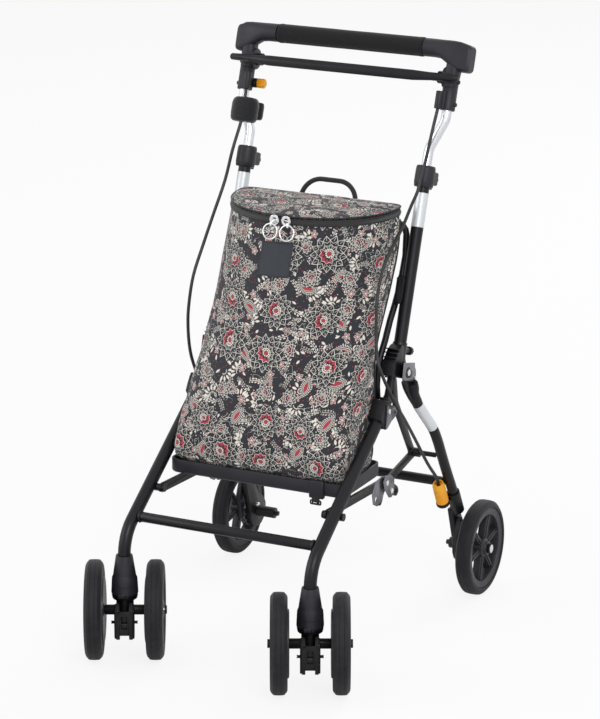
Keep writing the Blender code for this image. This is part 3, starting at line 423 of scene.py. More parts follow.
def almond(spots, length, width):
    """A red lens in two cream outlines with a fringe of dashes: (cream, red, room)."""
    radius, angle, luck = spots
    wanted = luck[2].step(0.25, 0.27)
    x, depth = lens(radius, angle, length, width)
    edge = depth.step(0.0, SOFT) * depth.step(0.0011, 0.0009)
    lining = depth.step(0.0021, 0.0023) * depth.step(0.003, 0.0028)
    dashes = abs((x * 17).sine()).step(0.62, 0.74)
    fringe = depth.step(-0.003, -0.0028) * depth.step(-0.0008, -0.001) * dashes
    cream = edge.high(lining).high(fringe)
    return cream * wanted, depth.step(0.003, 0.0033) * wanted, depth.step(-0.0034, -0.0032) * wanted


def spray(spots, size, count):
    """A fan of lens-shaped leaves with a dot beyond each."""
    radius, angle, luck = spots
    leaf = petals(radius, angle, count, size * 0.46, size, size * 0.115, 0.0)[1]
    dots = seeds(radius, angle, count, size * 1.2, size * 0.05)
    stalk = seeds(radius, angle, count * 2, size * 0.32, size * 0.04)
    return leaf.high(dots).high(stalk) * angle.cosine().step(0.3, 0.4)


def sprig(spots, length):
    """A curved stem with pairs of leaves."""
    radius, angle, luck = spots
    x = radius * angle.cosine()
    y = radius * angle.sine() + x * x * 16
    stem = abs(y).step(0.0006, 0.0003)
    beat = (x / (length * 0.2)).part() - 0.5
    slant = abs(y) - 0.0026 - beat * length * 0.05
    leaf = abs(slant).step(0.0011, 0.0009) * abs(beat).step(0.3, 0.26)
    return stem.high(leaf) * abs(x).step(length * 0.52, length * 0.48)


def scattered_leaf(spots, length, width):
    """A small leaf: (leaf, its middle)."""
    radius, angle, luck = spots
    x, depth = lens(radius, angle, length, width)
    return depth.step(0.0, SOFT) * luck[2].step(0.45, 0.47), depth.step(0.0009, 0.0011)


def printed_cloth(name):
    """Charcoal cloth with large blossoms, then almonds, small flowers, sprays and twigs in the room left."""
    finish = Finish(name, roughness=0.8, sheen_weight=0.08, sheen_roughness=0.5)
    flat = finish.cloth_place()
    x, y, depth = finish.split(flat)
    sway = finish.grain(flat, 40, 2) - 0.5
    place = finish.join(x + sway * 0.007, y - sway * 0.006)

    def spots(pitch, shift, jitter):
        return motif(finish, place, pitch, shift, jitter)

    cream, red, faded, taken = big_blossom(spots(0.076, (0.013, 0.021), 0.55), 0.028, (13, 10))
    small = big_blossom(spots(0.055, (0.437, 0.206), 0.55), 0.0145, (10, 7))
    free = inverse(taken)
    faded = faded.high(small[2] * free)
    for edge, fill, room in ((small[0], small[1], small[3]),
                             almond(spots(0.052, (0.271, 0.633), 0.5), 0.027, 0.0115),
                             bud(spots(0.03, (0.531, 0.118), 0.7), 0.0066, 5)):
        cream = cream.high(edge * free)
        red = red.high(fill * free)
        free = free * inverse(room)
    leaves = spray(spots(0.041, (0.172, 0.364), 0.6), 0.0165, 13)
    twig = sprig(spots(0.038, (0.272, 0.664), 0.7), 0.026)
    leaf, hollow = scattered_leaf(spots(0.0145, (0.155, 0.719), 0.9), 0.0078, 0.0038)
    bead = scattered_leaf(spots(0.0062, (0.633, 0.481), 0.9), 0.0017, 0.0017)[0]
    curl = sprig(spots(0.029, (0.811, 0.372), 0.7), 0.019)
    tendril = abs(finish.grain(place, 75, 1) - 0.5).step(0.014, 0.007)
    patches = finish.grain(place, 21, 1).step(0.52, 0.55)
    cream = cream.high(leaves.high(twig).high(leaf * inverse(hollow * patches)) * free)
    red = red.high(bead * inverse(patches) * free)
    faded = faded.high(curl.high(bead * patches).high(tendril * patches) * free)

    colour = finish.mix(finish.grain(flat, 30), shade(28, 31, 38), shade(39, 43, 51))
    threads = weave(finish, flat, 0.0007)
    # The last layer darkens the weave's gaps a little towards near-black: painted shade between the threads.
    for share, tone in ((faded * 0.86, (206, 200, 192)), (red * 0.9, (190, 60, 76)),
                        (cream * 0.96, (240, 234, 224)), (threads.step(1.0, 0.0) * 0.15, (24, 24, 28))):
        colour = finish.mix(share, colour, shade(*tone))
    finish.set("Base Color", colour)
    finish.relief(threads, 0.00012)
    return finish.material


TOOTH_PITCH = 0.0016
RIB_PITCH = 0.0009
COIL_HALF = 0.0024


def zip_cloth():
    """Zip tape with its coil of teeth running along the middle of the band."""
    finish = Finish("zip_tape", roughness=0.6, sheen_weight=0.2, sheen_roughness=0.4)
    along, across, depth = finish.split(finish.cloth_place())
    coil = abs(across)
    teeth = abs((along * (math.pi / TOOTH_PITCH)).sine()) * coil.step(COIL_HALF, COIL_HALF - 0.0006)
    ribs = abs((across * (math.pi / RIB_PITCH)).sine()) * coil.step(COIL_HALF, COIL_HALF + 0.0006)
    finish.paint(teeth, (16, 16, 19), (40, 40, 45))
    finish.relief(teeth * 2 + ribs * 0.4, 0.0003)
    return finish.material


PAINT = mottled("satin_black_paint", (13, 13, 17), (21, 21, 26), (28, 4), (0.35, 0.7), ((90, 3), 0.14, 0.3),
                ((900, 2), 0.00012), roughness=0.34, coat_weight=0.06, coat_roughness=0.2,
                specular_ior_level=0.26)
ALUMINIUM = mottled("bright_aluminium", (205, 207, 212), (236, 238, 242), (1, 4), None, ((1, 4), 0.18, 0.2),
                    ((1, 4), 0.00003), (900, 900, 12), metallic=1.0, roughness=0.3)
TAPE = reflective_tape()
STEEL = mottled("plated_steel", (104, 104, 112), (140, 140, 148), (45, 5, 0.6), (0.3, 0.7),
                ((160, 4), 0.2, 0.28), ((3, 2), 0.00004, (1, 400, 400)), metallic=0.85, roughness=0.4)
CHROME = mottled("bright_plating", (214, 214, 216), (244, 244, 244), (70,), None, ((300,), 0.1, 0.07),
                 metallic=1.0, roughness=0.12)
PLASTIC = moulded_plastic("dark_grey_plastic", (31, 31, 37), (42, 42, 49))
BLACK_PLASTIC = moulded_plastic("black_plastic", (12, 12, 15), (19, 19, 23), 0.36)
WHEEL_PLASTIC = moulded_plastic("wheel_plastic", (36, 36, 41), (49, 49, 55), 0.4)
AMBER = moulded_plastic("amber_plastic", (240, 160, 22), (250, 186, 52), 0.36)
RUBBER = mottled("tyre_rubber", (18, 18, 22), (34, 34, 40), (75, 6, 0.65), (0.42, 0.75),
                 ((75, 6, 0.65), 0.2, 0.55), ((800,), 0.00015), roughness=0.7, sheen_weight=0.06,
                 specular_ior_level=0.3)
FOAM = grip_foam()
STRAP = mottled("looped_strap", (10, 10, 13), (30, 29, 35), (1500, 3, 0.7), (0.35, 0.7), None,
                ((1500, 3, 0.7), 0.0004), roughness=0.9, sheen_weight=0.5, sheen_roughness=0.4)
JACKET = mottled("cable_jacket", (18, 18, 21), (32, 32, 36), (60, 4), relief=((700,), 0.00008),
                 roughness=0.42)
PRINT = printed_cloth("printed_bag_cloth")
BINDING = plain_cloth("black_binding", (14, 14, 17), (28, 28, 33))
PATCH = plain_cloth("charcoal_patch", (40, 44, 50), (50, 54, 61), 0.0006)
ZIP = zip_cloth()


# Shape makers: each gives a bmesh

def faced(shape):
    """The shape with its faces turned outward."""
    bmesh.ops.recalc_face_normals(shape, faces=shape.faces)
    return shape


def welded(shape):
    bmesh.ops.remove_doubles(shape, verts=shape.verts, dist=WELD)
    return faced(shape)


def lathe(profile, steps=40):
    """Turn (radius, height) points about Z."""
    shape = bmesh.new()
    points = [shape.verts.new((radius, 0, height)) for radius, height in profile]
    lines = [shape.edges.new(pair) for pair in zip(points, points[1:])]
    bmesh.ops.spin(shape, geom=points + lines, cent=(0, 0, 0), axis=(0, 0, 1), angle=2 * math.pi,
                   steps=steps, use_merge=True)
    return welded(shape)


def placed(shape, matrix):
    shape.transform(matrix)
    shape.normal_update()
    if matrix.determinant() < 0:
        bmesh.ops.reverse_faces(shape, faces=shape.faces)
    return shape


def on_mast(shapes, side=1):
    """Shapes with their finishes, laid out in mast axes and mirrored to a side."""
    return [(placed(shape, MAST @ flip(side)), finish) for shape, finish in shapes]


def stand(shape, base, axis):
    """Put the shape's origin at base with its Z along axis."""
    axis = Vector(axis).normalized()
    hint = Z_AXIS if abs(axis.z) < 0.9 else X_AXIS
    across = (hint - axis * hint.dot(axis)).normalized()
    turn = Matrix((across, axis.cross(across), axis)).transposed()
    return placed(shape, Matrix.Translation(Vector(base)) @ turn.to_4x4())


def turned(profile, base=(0, 0, 0), axis=Z_AXIS, steps=40):
    return stand(lathe(profile, steps), base, axis)


def bar(start, end, radius, round_over=0.0006, steps=28):
    """Solid round bar with softened ends."""
    start = Vector(start)
    end = Vector(end)
    length = (end - start).length
    edge = min(round_over, radius * 0.6)
    half = [(0, 0), (radius - edge, 0), (radius - edge * 0.3, edge * 0.3), (radius, edge)]
    profile = half + [(reach, length - height) for reach, height in reversed(half)]
    return turned(profile, start, end - start, steps)


def rod(low, high, y, z, *size):
    """Bar along X."""
    return bar((low, y, z), (high, y, z), *size)


def softened(shape, bevel, segments=2, angle=35):
    if bevel:
        edges = [edge for edge in shape.edges if edge.calc_face_angle(0) > math.radians(angle)]
        bmesh.ops.bevel(shape, geom=edges, offset=bevel, segments=segments, profile=0.5, affect="EDGES",
                        clamp_overlap=True, material=-1)
    return shape


def slab(outline, low, high, bevel=0.0008, segments=2):
    """Extrude a (y, z) outline from x = low to x = high with softened edges."""
    shape = bmesh.new()
    face = shape.faces.new([shape.verts.new((low, y, z)) for y, z in outline])
    extruded = bmesh.ops.extrude_face_region(shape, geom=[face])["geom"]
    moved = [item for item in extruded if isinstance(item, bmesh.types.BMVert)]
    bmesh.ops.translate(shape, verts=moved, vec=(high - low, 0, 0))
    return softened(faced(shape), bevel, segments)


def block(low, high, bevel=0.0008, segments=2):
    outline = [(low[1], low[2]), (high[1], low[2]), (high[1], high[2]), (low[1], high[2])]
    return slab(outline, low[0], high[0], bevel, segments)


def swept(route, radius, sides=20):
    """Round bar along a route."""
    curve = bpy.data.curves.new("route", "CURVE")
    curve.dimensions = "3D"
    curve.bevel_depth = radius
    curve.bevel_resolution = max(1, sides // 4 - 1)
    curve.use_fill_caps = True
    spline = curve.splines.new("POLY")
    spline.points.add(len(route) - 1)
    for i, point in enumerate(route):
        spline.points[i].co = (*point, 1)
    item = bpy.data.objects.new("route", curve)
    mesh = bpy.data.meshes.new_from_object(item)
    bpy.data.objects.remove(item)
    bpy.data.curves.remove(curve)
    shape = bmesh.new()
    shape.from_mesh(mesh)
    bpy.data.meshes.remove(mesh)
    return welded(shape)


def smooth_route(points, per_span=6):
    """Catmull-Rom curve through the points."""
    points = [Vector(point) for point in points]
    ends = [2 * points[0] - points[1]] + points + [2 * points[-1] - points[-2]]
    route = []
    for a, b, c, d in zip(ends, ends[1:], ends[2:], ends[3:]):
        for i in range(per_span):
            t = i / per_span
            route.append(0.5 * (2 * b + (c - a) * t + (2 * a - 5 * b + 4 * c - d) * t * t
                                + (3 * b - a - 3 * c + d) * t * t * t))
    route.append(points[-1])
    return route


def rounded_route(corners, radius, steps=10):
    """Path through corners with an arc at each inner corner."""
    corners = [Vector(corner) for corner in corners]
    route = [corners[0]]
    for before, corner, after in zip(corners, corners[1:], corners[2:]):
        to_before = (before - corner).normalized()
        to_after = (after - corner).normalized()
        half = to_before.angle(to_after) / 2
        reach = radius / math.tan(half)
        centre = corner + (to_before + to_after).normalized() * (radius / math.sin(half))
        first = (corner + to_before * reach - centre).normalized()
        last = (corner + to_after * reach - centre).normalized()
        route += [centre + first.slerp(last, i / steps) * radius for i in range(steps + 1)]
    route.append(corners[-1])
    return route


def bridged(rings):
    """Skin through rings of equal count, with capped ends."""
    shape = bmesh.new()
    loops = []
    for ring in rings:
        points = [shape.verts.new(point) for point in ring]
        loops.append([shape.edges.new((points[i - 1], points[i])) for i in range(len(points))])
    for low, high in zip(loops, loops[1:]):
        bmesh.ops.bridge_loops(shape, edges=low + high)
    for loop in (loops[0], loops[-1]):
        bmesh.ops.contextual_create(shape, geom=loop)
    return faced(shape)


def oval(centre, half_a, half_b, axis_a, axis_b, steps=28, squareness=2.0):
    ring = []
    for i in range(steps):
        angle = 2 * math.pi * i / steps
        cos = math.cos(angle)
        sin = math.sin(angle)
        a = math.copysign(abs(cos) ** (2 / squareness), cos) * half_a
        b = math.copysign(abs(sin) ** (2 / squareness), sin) * half_b
        ring.append(Vector(centre) + Vector(axis_a) * a + Vector(axis_b) * b)
    return ring


def lofted(rows, axis_a=X_AXIS, axis_b=Y_AXIS, steps=28):
    """Skin through ovals, each an (x, y, z, half size on a, half size on b, squareness)."""
    return bridged([oval(place, a, b, axis_a, axis_b, steps, square) for *place, a, b, square in rows])


def node_copy(node, bevel=0.0):
    """A welded copy of a CAD node's mesh, its sharp edges softened."""
    shape = bmesh.new()
    shape.from_mesh(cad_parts[node].data)
    bmesh.ops.remove_doubles(shape, verts=shape.verts, dist=1e-5)
    bmesh.ops.dissolve_limit(shape, angle_limit=math.radians(1.5), verts=shape.verts, edges=shape.edges)
    return softened(shape, bevel, 2, 38)


def piece(name, shapes, body, nodes=(), sharp=38):
    """Join shapes, given with their finishes, into one object that rides on a body, if one is named."""
    finishes = []
    whole = bmesh.new()
    for shape, finish in shapes:
        if finish not in finishes:
            finishes.append(finish)
        for face in shape.faces:
            face.material_index = finishes.index(finish)
        part = bpy.data.meshes.new("part")
        shape.to_mesh(part)
        shape.free()
        whole.from_mesh(part)
        bpy.data.meshes.remove(part)
    mesh = bpy.data.meshes.new(name)
    whole.to_mesh(mesh)
    whole.free()
    for finish in finishes:
        mesh.materials.append(finish)
    mesh.shade_smooth()
    mesh.set_sharp_from_angle(angle=math.radians(sharp))
    item = bpy.data.objects.new(name, mesh)
    bpy.context.scene.collection.objects.link(item)
    if body:
        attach(item, body)
    if nodes:
        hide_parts(*nodes)
    return item


def pair(name, node, body, slot, extra=None, bevel=None, finish=None):
    """The right and left pieces of one kind.

    With a bevel, each has a softened copy of its CAD node in a finish of its own. extra(side) adds
    shapes. The side's letter goes after the name, the node, and a body whose name ends in "_".
    """
    for side, letter in SIDES:
        shapes = [] if bevel is None else [(node_copy(node + letter, bevel), finish)]
        if extra:
            shapes += extra(side)
        own_body = body + letter if body.endswith("_") else body
        piece(name + letter, shapes, own_body, [node + letter] if node else ())


# Frame

def from_axle(points):
    """Points whose y, given last but one, is counted from the rear axle."""
    return [(*point[:-2], point[-2] + AXLE_Y, point[-1]) for point in points]


def rivet(y, z, low, high, radius, side):
    """Domed head that stands on a plate, from x = low out to x = high."""
    rise = high - low
    profile = [(0, 0), (radius, 0), (radius, rise * 0.5), (radius * 0.7, rise * 0.85), (0, rise)]
    return turned(profile, (side * low, y + AXLE_Y, z), X_AXIS * side, 24)


def rivets(side, *rows):
    """Rivets, each a (y, z, low, high, radius, finish)."""
    return [(rivet(*row, side), finish) for *row, finish in rows]


def plated(outline, low, high, bevel, *rows):
    """Gives a function for a side's grey plate, its (y, z) from the rear axle, and its rivets."""
    def shapes(side):
        plate = placed(slab(from_axle(outline), low, high, bevel), flip(side))
        return [(plate, STEEL)] + rivets(side, *rows)
    return shapes


def weld_bars():
    """The front crossbar's rounded ends."""
    return [(rod(end * 0.1395, end * 0.145, AXLE_Y - 0.45, 0.2128, 0.0092, 0.0024), PAINT) for end in (1, -1)]


LEG_CLAMP = plated(
    mm((-249, 371.5), (-235.2, 364), (-219, 360.5), (-215.8, 353.5), (-219.5, 347.8), (-235, 343.5),
       (-249, 336.2), (-254.5, 336.5)), 0.1655, 0.1668, 0.0004,
    (-0.244, 0.3608, 0.1666, 0.169, 0.0042, CHROME), (-0.222, 0.354, 0.1666, 0.1682, 0.003, STEEL))
FRONT_KNEE = plated(
    mm((-192, 240), (-208, 244), (-230, 242), (-242, 225), (-238, 208), (-224, 201), (-208, 206),
       (-193, 222)), 0.1376, 0.1389, 0.0003, (-0.229, 0.214, 0.1386, 0.1391, 0.004, CHROME))
REAR_KNEE = plated(
    mm((-213, 236), (-206, 244), (-186, 241), (-174, 232), (-174, 211), (-183, 204), (-193, 206),
       (-208, 223)), 0.1429, 0.1439, 0.0003,
    (-0.2, 0.2316, 0.1437, 0.1462, 0.0046, CHROME), (-0.183, 0.214, 0.1437, 0.1462, 0.0046, CHROME))


def clevis(side):
    """Grey clevis plate, its rivet in a dark washer, and a small screw."""
    cheek = mm((-19, -30), (16.7, -26.8), (29, -37.5), (33.5, -50), (31, -54.5), (-16.5, -56))
    plate = placed(slab(cheek, 0.1687, 0.1698, 0.0004), MAST @ flip(side))
    return [(plate, STEEL)] + rivets(side, (PIVOT_Y, PIVOT_Z, 0.1696, 0.1708, 0.0085, BLACK_PLASTIC),
                                     (PIVOT_Y, PIVOT_Z, 0.1706, 0.1728, 0.0048, CHROME),
                                     (-0.159, 0.39, 0.1696, 0.1712, 0.0026, CHROME))


def dress_tray():
    """Moulded tray with its hook, a webbing tab and a black buckle under it with a painted highlight."""
    y = AXLE_Y - 0.3585
    tab = block((0.095, y - 0.001, 0.2425), (0.1075, y + 0.001, 0.2535), 0.0006)
    route = rounded_route([(0.1012, y, 0.2468), (0.093, y, 0.2468), (0.093, y, 0.2412), (0.1095, y, 0.2412),
                           (0.1095, y, 0.2468), (0.1011, y, 0.2468)], 0.0015, 4)
    # The thin chrome rod across the buckle's middle is a painted highlight, not a part of the buckle.
    shapes = [(node_copy("tray", 0.0009), PLASTIC), (tab, BINDING), (swept(route, 0.0013, 12), BLACK_PLASTIC),
              (rod(0.0985, 0.104, y - 0.0016, 0.244, 0.0006, 0.0002, 12), CHROME)]
    piece("bag_tray", shapes, "front_frame", ["tray"])


def dress_carry_handle():
    """Webbing rolled into a round loop, its ends wrapped round the hoop."""
    base = MAST @ Vector((0, *HOOP_TOP))
    rise = Vector((0, 0.0199, 0.0531)).normalized()
    wide = X_AXIS * 0.0455
    low = rise * 0.006
    high = rise * 0.052
    corners = [base - wide + low, base - wide + high, base + wide + high, base + wide + low]
    wrap = mm((6.2, -5.8), (8, -5.8), (8.4, -5), (8.4, 5), (8, 5.8), (6.2, 5.8), (6.2, -5.8))
    shapes = [(swept(rounded_route(corners, 0.031, 20), 0.0038), BINDING)]
    shapes += [(turned(wrap, base + end, X_AXIS, 32), BINDING) for end in (wide, -wide)]
    piece("carry_loop", shapes, "carry_handle", ["carry_handle"])


def axle_end(side):
    """The bright end of the axle and an adjusting screw."""
    screw = rod(side * 0.18, side * 0.17, AXLE_Y - 0.01, 0.089, 0.0034, 0.0008)
    return rivets(side, (0, WHEEL_R, 0.231, 0.2334, 0.0064, CHROME)) + [(screw, CHROME)]


def caster_skirt(side):
    """Stepped skirt over the stem, under the tapered cover on the leg's foot."""
    skirt = mm((16.8, 116), (19.6, 115), (20.1, 104), (19.9, 103), (16.8, 102.8), (16.8, 116))
    ring = mm((16.8, 103), (19, 102.8), (19.3, 101.8), (19.3, 98.5), (18.7, 97.8), (18.7, 95.5), (18, 94.6),
              (16.8, 94.6), (16.8, 103))
    foot = (side * CASTER_X, CASTER_Y, 0)
    tongue = placed(block((-0.01, -0.0207, 0.099), (0.002, -0.015, 0.106), 0.0012), caster_frame(side))
    return [(turned(skirt, foot), PLASTIC), (turned(ring, foot), BLACK_PLASTIC),
            (tongue, BLACK_PLASTIC)]


def lever_cheeks(side):
    """A lock lever's web, its thick rounded cheeks and its bright-ended pin."""
    cheek = mm((-14, 89), (-19, 91.5), (-30, 84.5), (-33.5, 72), (-33.5, 45), (-30, 40), (-25, 38.5),
               (-20.5, 41), (-17, 50), (-14, 62))
    here = caster_frame(side)
    web = placed(block((-0.0105, -0.03, 0.044), (0.0105, -0.0225, 0.064), 0.002), here)
    shapes = [(web, BLACK_PLASTIC)]
    for end in (1, -1):
        pin = rod(end * 0.0186, end * 0.0196, -0.0205, 0.063, 0.0027, 0.0004, 16)
        shapes += [(placed(slab(cheek, 0.0112, 0.0148, 0.0014), here @ flip(end)), BLACK_PLASTIC),
                   (placed(pin, here), CHROME)]
    return shapes


def amber_sleeve(side):
    """Ribbed amber sleeve on a black base ring, open at its top."""
    axis = COVER_TOP - COVER_FOOT
    length = axis.length
    profile = mm((6, 5.5))
    for i in range(9):
        height = 0.008 + i * 0.004
        profile += [(0.0091, height - 0.0014), (0.0098, height - 0.0008), (0.0098, height + 0.0008),
                    (0.0091, height + 0.0014)]
    profile += [(0.0088, length - 0.0015), (0.008, length), (0.0062, length), (0.0058, length - 0.004),
                (0.003, length - 0.0044), (0.003, 0.0055), (0.006, 0.0055)]
    base = mm((3, 0), (9.8, 0), (10.6, 1), (10.6, 4.6), (9.8, 5.6), (3, 5.6), (3, 0))
    return [(placed(turned(profile, COVER_FOOT, axis), flip(side)), AMBER),
            (placed(turned(base, COVER_FOOT, axis), flip(side)), BLACK_PLASTIC)]


# Mast

def post_tube(side):
    """Black tube with a silver band under its collar."""
    foot = (side * POST_X, 0, 0)
    tube = turned([(POST_BORE, POST_FOOT), (POST_R - 0.0005, POST_FOOT), (POST_R, POST_FOOT + 0.0005),
                   (POST_R, POST_TOP - 0.0004), (POST_R - 0.0006, POST_TOP), (POST_BORE, POST_TOP),
                   (POST_BORE, POST_FOOT)], foot)
    band = turned([(POST_R - 0.0002, 0.174), (POST_R + 0.00025, 0.1742), (POST_R + 0.00025, 0.2258),
                   (POST_R - 0.0002, 0.226)], foot)
    return on_mast([(tube, PAINT), (band, TAPE)])


def collar_body(side):
    """Adjusting collar: a barrel with the button's boss, a lip under it and a moulding seam."""
    foot = (side * POST_X, 0, 0)
    barrel = turned(mm((9.8, 234.7), (13.6, 234.7), (14.3, 235.4), (15.2, 242), (15, 259), (14.7, 264),
                       (13.5, 266.6), (7.8, 266.6)), foot)
    boss = block((-0.0082, 0.006, 0.2408), (0.0082, 0.0345, 0.261), 0.0028, 3)
    lip = block((-0.006, 0.01, 0.2332), (0.006, 0.0205, 0.244), 0.0012)
    seam = block((-0.0004, -0.0153, 0.242), (0.0004, -0.014, 0.262), 0)
    moved = [placed(shape, Matrix.Translation(foot)) for shape in (boss, lip, seam)]
    return on_mast([(shape, PLASTIC) for shape in [barrel] + moved])


def telescopic_tube(side):
    """Bright tube that bends outward from the post to the handle's sleeve."""
    route = rounded_route([(side * POST_X, 0, 0.06), (side * POST_X, 0, 0.292), (side * SLEEVE_X, 0, 0.338),
                           (side * SLEEVE_X, 0, 0.398)], 0.03)
    return on_mast([(swept(route, TUBE_R, 28), ALUMINIUM)])


# Handle

def dress_grip():
    """Foam sleeve with a swollen bead at each end."""
    end = mm((9.2, 0), (9.2, 12.6), (13.2, 12.6), (14.3, 13.2), (14.8, 15), (14.8, 19.5), (14.4, 21.2))
    end.append((GRIP_R, 0.0235))
    half = [(radius, reach - GRIP_HALF) for radius, reach in end] + [(GRIP_R, -0.03)]
    profile = half + [(GRIP_R - 0.0002, 0.0)] + [(radius, -height) for radius, height in reversed(half)]
    sleeve = turned(profile, (0, GRIP_N, GRIP_S), X_AXIS, 48)
    grip = piece("foam_grip", on_mast([(sleeve, FOAM)]), "handle", ["grip"])


def handle_end(side):
    """Handle bracket: a block at the grip's end, a sleeve over the inner tube and the brake bar's hub."""
    end = 0.1988 if side > 0 else 0.192
    rows = ((0.123, GRIP_N, 0, 0.0139, 0.0139, 2), (0.14, GRIP_N, 0, 0.0139, 0.0139, 2),
            (0.15, GRIP_N + 0.001, 0.0006, 0.0138, 0.0142, 2.4),
            (0.16, GRIP_N + 0.002, 0.0036, 0.0136, 0.0172, 3),
            (0.17, -0.001, 0.007, 0.0132, 0.0205, 4), (0.18, 0, 0.0097, 0.013, 0.0222, 5),
            (end - 0.0068, 0, 0.0115, 0.0127, 0.021, 5.5), (end - 0.0023, 0, 0.0118, 0.012, 0.02, 5.5),
            (end, 0, 0.012, 0.0104, 0.018, 5))
    head = lofted([(x, n, GRIP_S - drop, *size) for x, n, drop, *size in rows], Y_AXIS, Z_AXIS)
    neck = lofted([(SLEEVE_X, 0, 0.388, 0.0112, 0.0116, 2.3), (SLEEVE_X, 0, 0.4, 0.0108, 0.0122, 2.8),
                   (SLEEVE_X + 0.001, 0, 0.414, 0.011, 0.0124, 3),
                   (SLEEVE_X + 0.002, 0, 0.43, 0.0112, 0.0124, 3)])
    sleeve = turned(mm((7.9, 0), (10.8, 0), (11.5, 0.6), (11.7, 4), (11.5, 6), (11.5, 39.5), (10, 41.5)),
                    (SLEEVE_X, 0, SLEEVE_S))
    channel = bar((0.1605, -0.0141, SLEEVE_S), (0.1605, -0.0141, 0.379), 0.0058, 0.001)
    rib = block((0.164, -0.015, SLEEVE_S + 0.001), (0.17, -0.009, 0.38), 0.0012)
    hub = rod(0.1575, 0.169, BRAKE_N, BRAKE_S, 0.0165, 0.0016, 40)
    washer = rod(0.1438, 0.147, BRAKE_N, BRAKE_S, 0.0062, 0.0008)
    fins = [block((x, 0.008, 0.36), (x + 0.0016, 0.0136, 0.385), 0.0006) for x in (0.1672, 0.1728)]
    screws = [rod(0.179, 0.184, 0, height, 0.003, 0.0007) for height in (0.362, 0.396)]
    shapes = [(shape, PLASTIC) for shape in [head, neck, sleeve, channel, rib, hub, washer] + fins + screws]
    shapes.append((rod(0.144, 0.16, BRAKE_N, BRAKE_S, 0.0035), STEEL))
    if side < 0:
        shapes.append((rod(0.166, 0.153, KNOB_N, KNOB_S, 0.0074, 0.0008), BLACK_PLASTIC))
    return on_mast(shapes, side)


def dress_knob():
    """Fluted amber knob of the handle lock."""
    shapes = [(rod(-0.16, -0.151, KNOB_N, KNOB_S, 0.0022), STEEL),
              (rod(-0.1518, -0.1392, KNOB_N, KNOB_S, 0.0062, 0.0012, 32), AMBER)]
    for i in range(10):
        angle = 2 * math.pi * i / 10
        n = KNOB_N + 0.0058 * math.cos(angle)
        s = KNOB_S + 0.0058 * math.sin(angle)
        shapes.append((rod(-0.1512, -0.1402, n, s, 0.0017, 0.0007, 10), AMBER))
    piece("amber_knob", on_mast(shapes), "lock_knob", ["lock_knob"])


def dress_cane_strap():
    """Hook-and-loop strap wound round the left tube: overlapping turns and a folded tail."""
    centre = (-0.1628, -0.003)
    drum = lofted([(*centre, s, half_x, half_n, 2.2) for s, half_x, half_n in mm(
        (302.5, 12, 9.5), (303, 17.2, 12.8), (305.2, 20, 14.8), (309, 21.4, 15.9), (310.5, 21.1, 15.7),
        (314, 21.7, 16.2), (329.5, 21.7, 16.2), (333.5, 21, 15.7), (337.5, 19.2, 14.3), (339.8, 16.6, 12.2),
        (340.5, 12, 9.5))], steps=40)
    tail = lofted([(-0.1452, 0.0085, s, half_x, half_n, 2.6) for s, half_x, half_n in mm(
        (308.5, 4, 3), (309.5, 6.8, 5), (314, 8, 6.2), (330, 8, 6.2), (334.5, 6.8, 5), (335.5, 4, 3))])
    shapes = [(drum, STRAP), (tail, STRAP)]
    for i in range(3):
        here = Matrix.Translation((*centre, 0.3095 + 0.0085 * i)) @ Matrix.Diagonal((1.035, 0.78, 1, 1))
        edge = turned(mm((20.3, 0), (21, 0.3), (20.3, 0.6)))
        shapes.append((placed(edge, here), BINDING))
    piece("cane_strap_wrap", on_mast(shapes), "handle", ["cane_strap"])


# Wheels

def tyre_profile(rim_r, outer_r, half, shoulder):
    """Cross-section of a solid tyre with a crowned tread and two fine grooves, as (radius, across)."""
    side = [(rim_r, -half + 0.001), (rim_r + 0.0015, -half + 0.0002), (outer_r - 0.0075, -half),
            (outer_r - shoulder, -half + 0.0012), (outer_r - 0.0008, -half + shoulder),
            (outer_r - 0.0002, -0.0042), (outer_r - 0.0007, -0.0036), (outer_r - 0.0002, -0.003)]
    return side + [(radius, -across) for radius, across in reversed(side)] + [side[0]]


def rear_centre(side):
    return Vector((side * WHEEL_CENTRE.x, AXLE_Y, WHEEL_R))


def rear_tyre(side):
    profile = tyre_profile(0.0637, WHEEL_R, 0.0125, 0.0042)
    return [(turned(profile, rear_centre(side), X_AXIS * side, 96), RUBBER)]


def spoked_rim(side):
    """Rim and hub with three pairs of ribbed spokes, and the toothed brake disc."""
    rim = lathe(mm((52.5, -8.5), (53, -9.5), (62, -11.2), (63.7, -10.4), (63.7, 10.4), (62, 11.2), (58, 10),
                   (53, 9.5), (52.5, 8.5), (52.5, -8.5)), 96)
    hub = lathe(mm((4.4, -23.8), (10.5, -23.8), (11, -23.2), (11, -10), (15, -8.5), (15, 7.8), (14.2, 8.8),
                   (11.5, 10.8), (10.8, 13.6), (10, 14.1), (4.4, 14.1), (4.4, -23.8)), 48)
    shapes = [rim, hub]
    for angle in (14, 68, -106, -52, 134, 188):
        turn = Matrix.Rotation(math.radians(angle), 4, "Z")
        shapes += [placed(block((0.011, -0.0044, -0.0062), (0.0545, 0.0044, 0.0062), 0.0014, 3), turn),
                   placed(block((0.011, -0.0016, 0.005), (0.0545, 0.0016, 0.0078)), turn)]
    teeth = []
    for i in range(12):
        for share, radius in ((0.0, 0.0205), (0.3, 0.0205), (0.38, 0.0258), (0.8, 0.0258)):
            angle = 2 * math.pi * (i + share) / 12
            teeth.append((radius * math.cos(angle), radius * math.sin(angle)))
    centre = rear_centre(side)
    disc = placed(slab(teeth, -0.024, -0.02, 0.0004), Matrix.Translation(centre) @ flip(side))
    return [(placed(shape, wheel_frame(side, centre)), WHEEL_PLASTIC) for shape in shapes] + [(disc, STEEL)]


